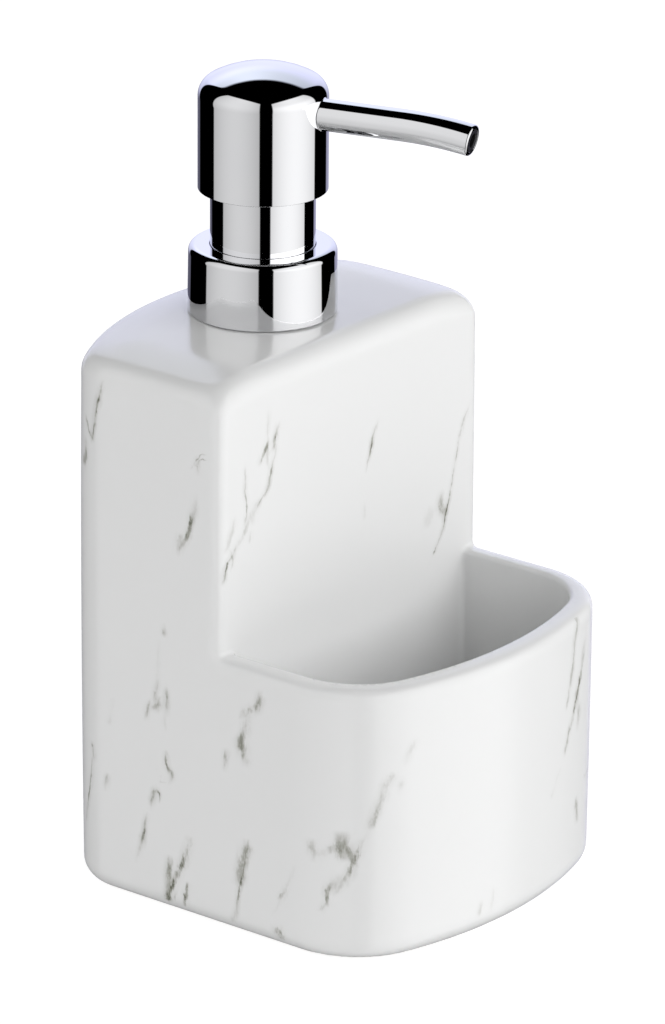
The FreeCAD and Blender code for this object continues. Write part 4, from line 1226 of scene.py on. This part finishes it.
# %% Spout and its liner
SPOUT_RADIUS, SPOUT_BORE, SPOUT_LIP = 3.6, 2.7, 0.55
SPOUT_ROOT, ROOT_EDGE, MOUTH_EDGE, FLARE_SINK = 8.4, 0.1, 0.08, 0.1
SPOUT_RUN = 1.2
tube_outline = outline_of(
    (SPOUT_RADIUS - SPOUT_LIP, SPOUT_END - SPOUT_LIP, SPOUT_LIP, 90, 0),
    (SPOUT_RADIUS + FLARE, HEAD_RADIUS + FLARE - FLARE_SINK, -FLARE, 180, 270),
    (SPOUT_RADIUS - ROOT_EDGE, SPOUT_ROOT, ROOT_EDGE, 0, -90),
    (SPOUT_BORE + ROOT_EDGE, SPOUT_ROOT, ROOT_EDGE, -90, -180),
    (SPOUT_BORE + MOUTH_EDGE, SPOUT_END - MOUTH_EDGE, MOUTH_EDGE, 180, 90),
)
tube = spun("spout_pipe", tube_outline, SPOUT_RUN, about_spout)

LINER_RADIUS, LINER_BORE, LINER_RECESS, LINER_EDGE, LINER_ROOT = 2.68, 1.6, 0.1, 0.2, 8.1
liner_outline = ring_outline(
    LINER_RADIUS, LINER_BORE, LINER_ROOT, SPOUT_END - LINER_RECESS, ROOT_EDGE, LINER_EDGE)
liner = spun("spout_lining", liner_outline, LONGEST_RUN, about_spout)

tube.data.materials.append(chrome)
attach(tube, "head")
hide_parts("spout_tube")
print("Spout of", len(tube.data.polygons), "faces, its liner of", len(liner.data.polygons))

# %% [markdown]
# Inside the collar and the head sit moulded pieces that show when the pump is lifted or taken apart. Their
# CAD shapes are right as they are, so they only get finishes: plastics with a faint moulded grain, rubber for
# the seals and bright steel for the valve balls.

# %% Plastics, rubber and steel
SKIN_SCALE, FINE_SCALE, SKIN_DEPTH, SKIN_ROUGH = 420.0, 900.0, 0.0002, 0.12


def moulded(name, colour, second, roughness, bump_strength, metallic=0.0, scale=SKIN_SCALE):
    """A finish with a faint cloud in its colour, uneven gloss and a fine skin."""
    material = bpy.data.materials.new(name)
    start = fresh_nodes(material)
    place = start.node("ShaderNodeTexCoord", output="Object")
    skin = grain(place, scale, 2.0, 0.6)
    bump = start.node("ShaderNodeBump", inputs={
        "Strength": bump_strength, "Distance": SKIN_DEPTH, "Height": skin})
    principled(start, {
        "Base Color": grain(place, 70.0, 3.0).blend(colour, second),
        "Roughness": roughness + SKIN_ROUGH * skin,
        "Metallic": metallic,
        "Normal": bump,
    })
    return material


white_plastic = moulded("white_moulding", (0.80, 0.80, 0.79, 1), (0.86, 0.86, 0.85, 1), 0.30, 0.15)
natural_plastic = moulded("milky_moulding", (0.70, 0.72, 0.71, 1), (0.78, 0.79, 0.77, 1), 0.28, 0.12)
dark_plastic = moulded("black_lining", (0.006, 0.006, 0.007, 1), (0.012, 0.012, 0.013, 1), 0.3, 0.05)
rubber = moulded("grey_rubber", (0.05, 0.05, 0.055, 1), (0.08, 0.08, 0.085, 1), 0.62, 0.3)
bright_steel = moulded(
    "bright_steel", (0.62, 0.62, 0.63, 1), (0.72, 0.72, 0.72, 1), 0.12, 0.05, 1.0, FINE_SCALE)

INNER_FINISHES = {
    "neck_insert": white_plastic,
    "collar_nut": white_plastic,
    "guide_bush": white_plastic,
    "head_core": white_plastic,
    "piston_stem": white_plastic,
    "pump_housing": natural_plastic,
    "dip_tube": natural_plastic,
    "ball_retainer": natural_plastic,
    "neck_gasket": rubber,
    "piston_seal": rubber,
    "inlet_ball": bright_steel,
    "outlet_ball": bright_steel,
}
for name, finish in INNER_FINISHES.items():
    mesh = nodes[name].data
    mesh.materials.clear()
    mesh.materials.append(finish)
liner.data.materials.append(dark_plastic)
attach(liner, "head")
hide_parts("spout_liner")
print("Finishes on", len(INNER_FINISHES), "inner pieces")

# %% [markdown]
# The return spring is wire wound on a rod. It could be one Screw modifier, but it follows a path, so Geometry
# Nodes wind it: a spiral for the turns and a round profile for the wire, with the sizes as named inputs.

# %% Return spring
SPRING_LOW, SPRING_TOP = (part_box("return_spring")[k][2] / MM for k in (0, 1))
SPRING = dict(mean_radius=5.7, wire_radius=0.45, turns=8.0, length=SPRING_TOP - SPRING_LOW)
STEPS_PER_TURN, WIRE_SIDES = 48, 14

winding, given = tree_for("spring_winding", SPRING)
coil = Wire(winding)
spiral = coil.node("GeometryNodeCurveSpiral", inputs={
    "Resolution": STEPS_PER_TURN,
    "Rotations": given.turns,
    "Start Radius": given.mean_radius,
    "End Radius": given.mean_radius,
    "Height": given.length - 2 * given.wire_radius,
})
section = coil.node("GeometryNodeCurvePrimitiveCircle", inputs={
    "Resolution": WIRE_SIDES, "Radius": given.wire_radius})
end_tree(coil.node("GeometryNodeCurveToMesh", inputs={
    "Curve": spiral, "Profile Curve": section, "Fill Caps": True}), given.finish)

spring = grown("return_coil", winding, dict(SPRING, finish=bright_steel))
spots = points_of(spring.data)
spots[:, 1] += PUMP_Y
spots[:, 2] += SPRING_LOW - spots[:, 2].min()
spring.data.vertices.foreach_set("co", (spots * MM).astype(np.float32).ravel())
spring.data.update()
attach(spring, "pump")
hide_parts("return_spring")
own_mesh(spring)
print("Spring of", SPRING["turns"], "turns, %.1f mm long" % SPRING["length"])

# %% [markdown]
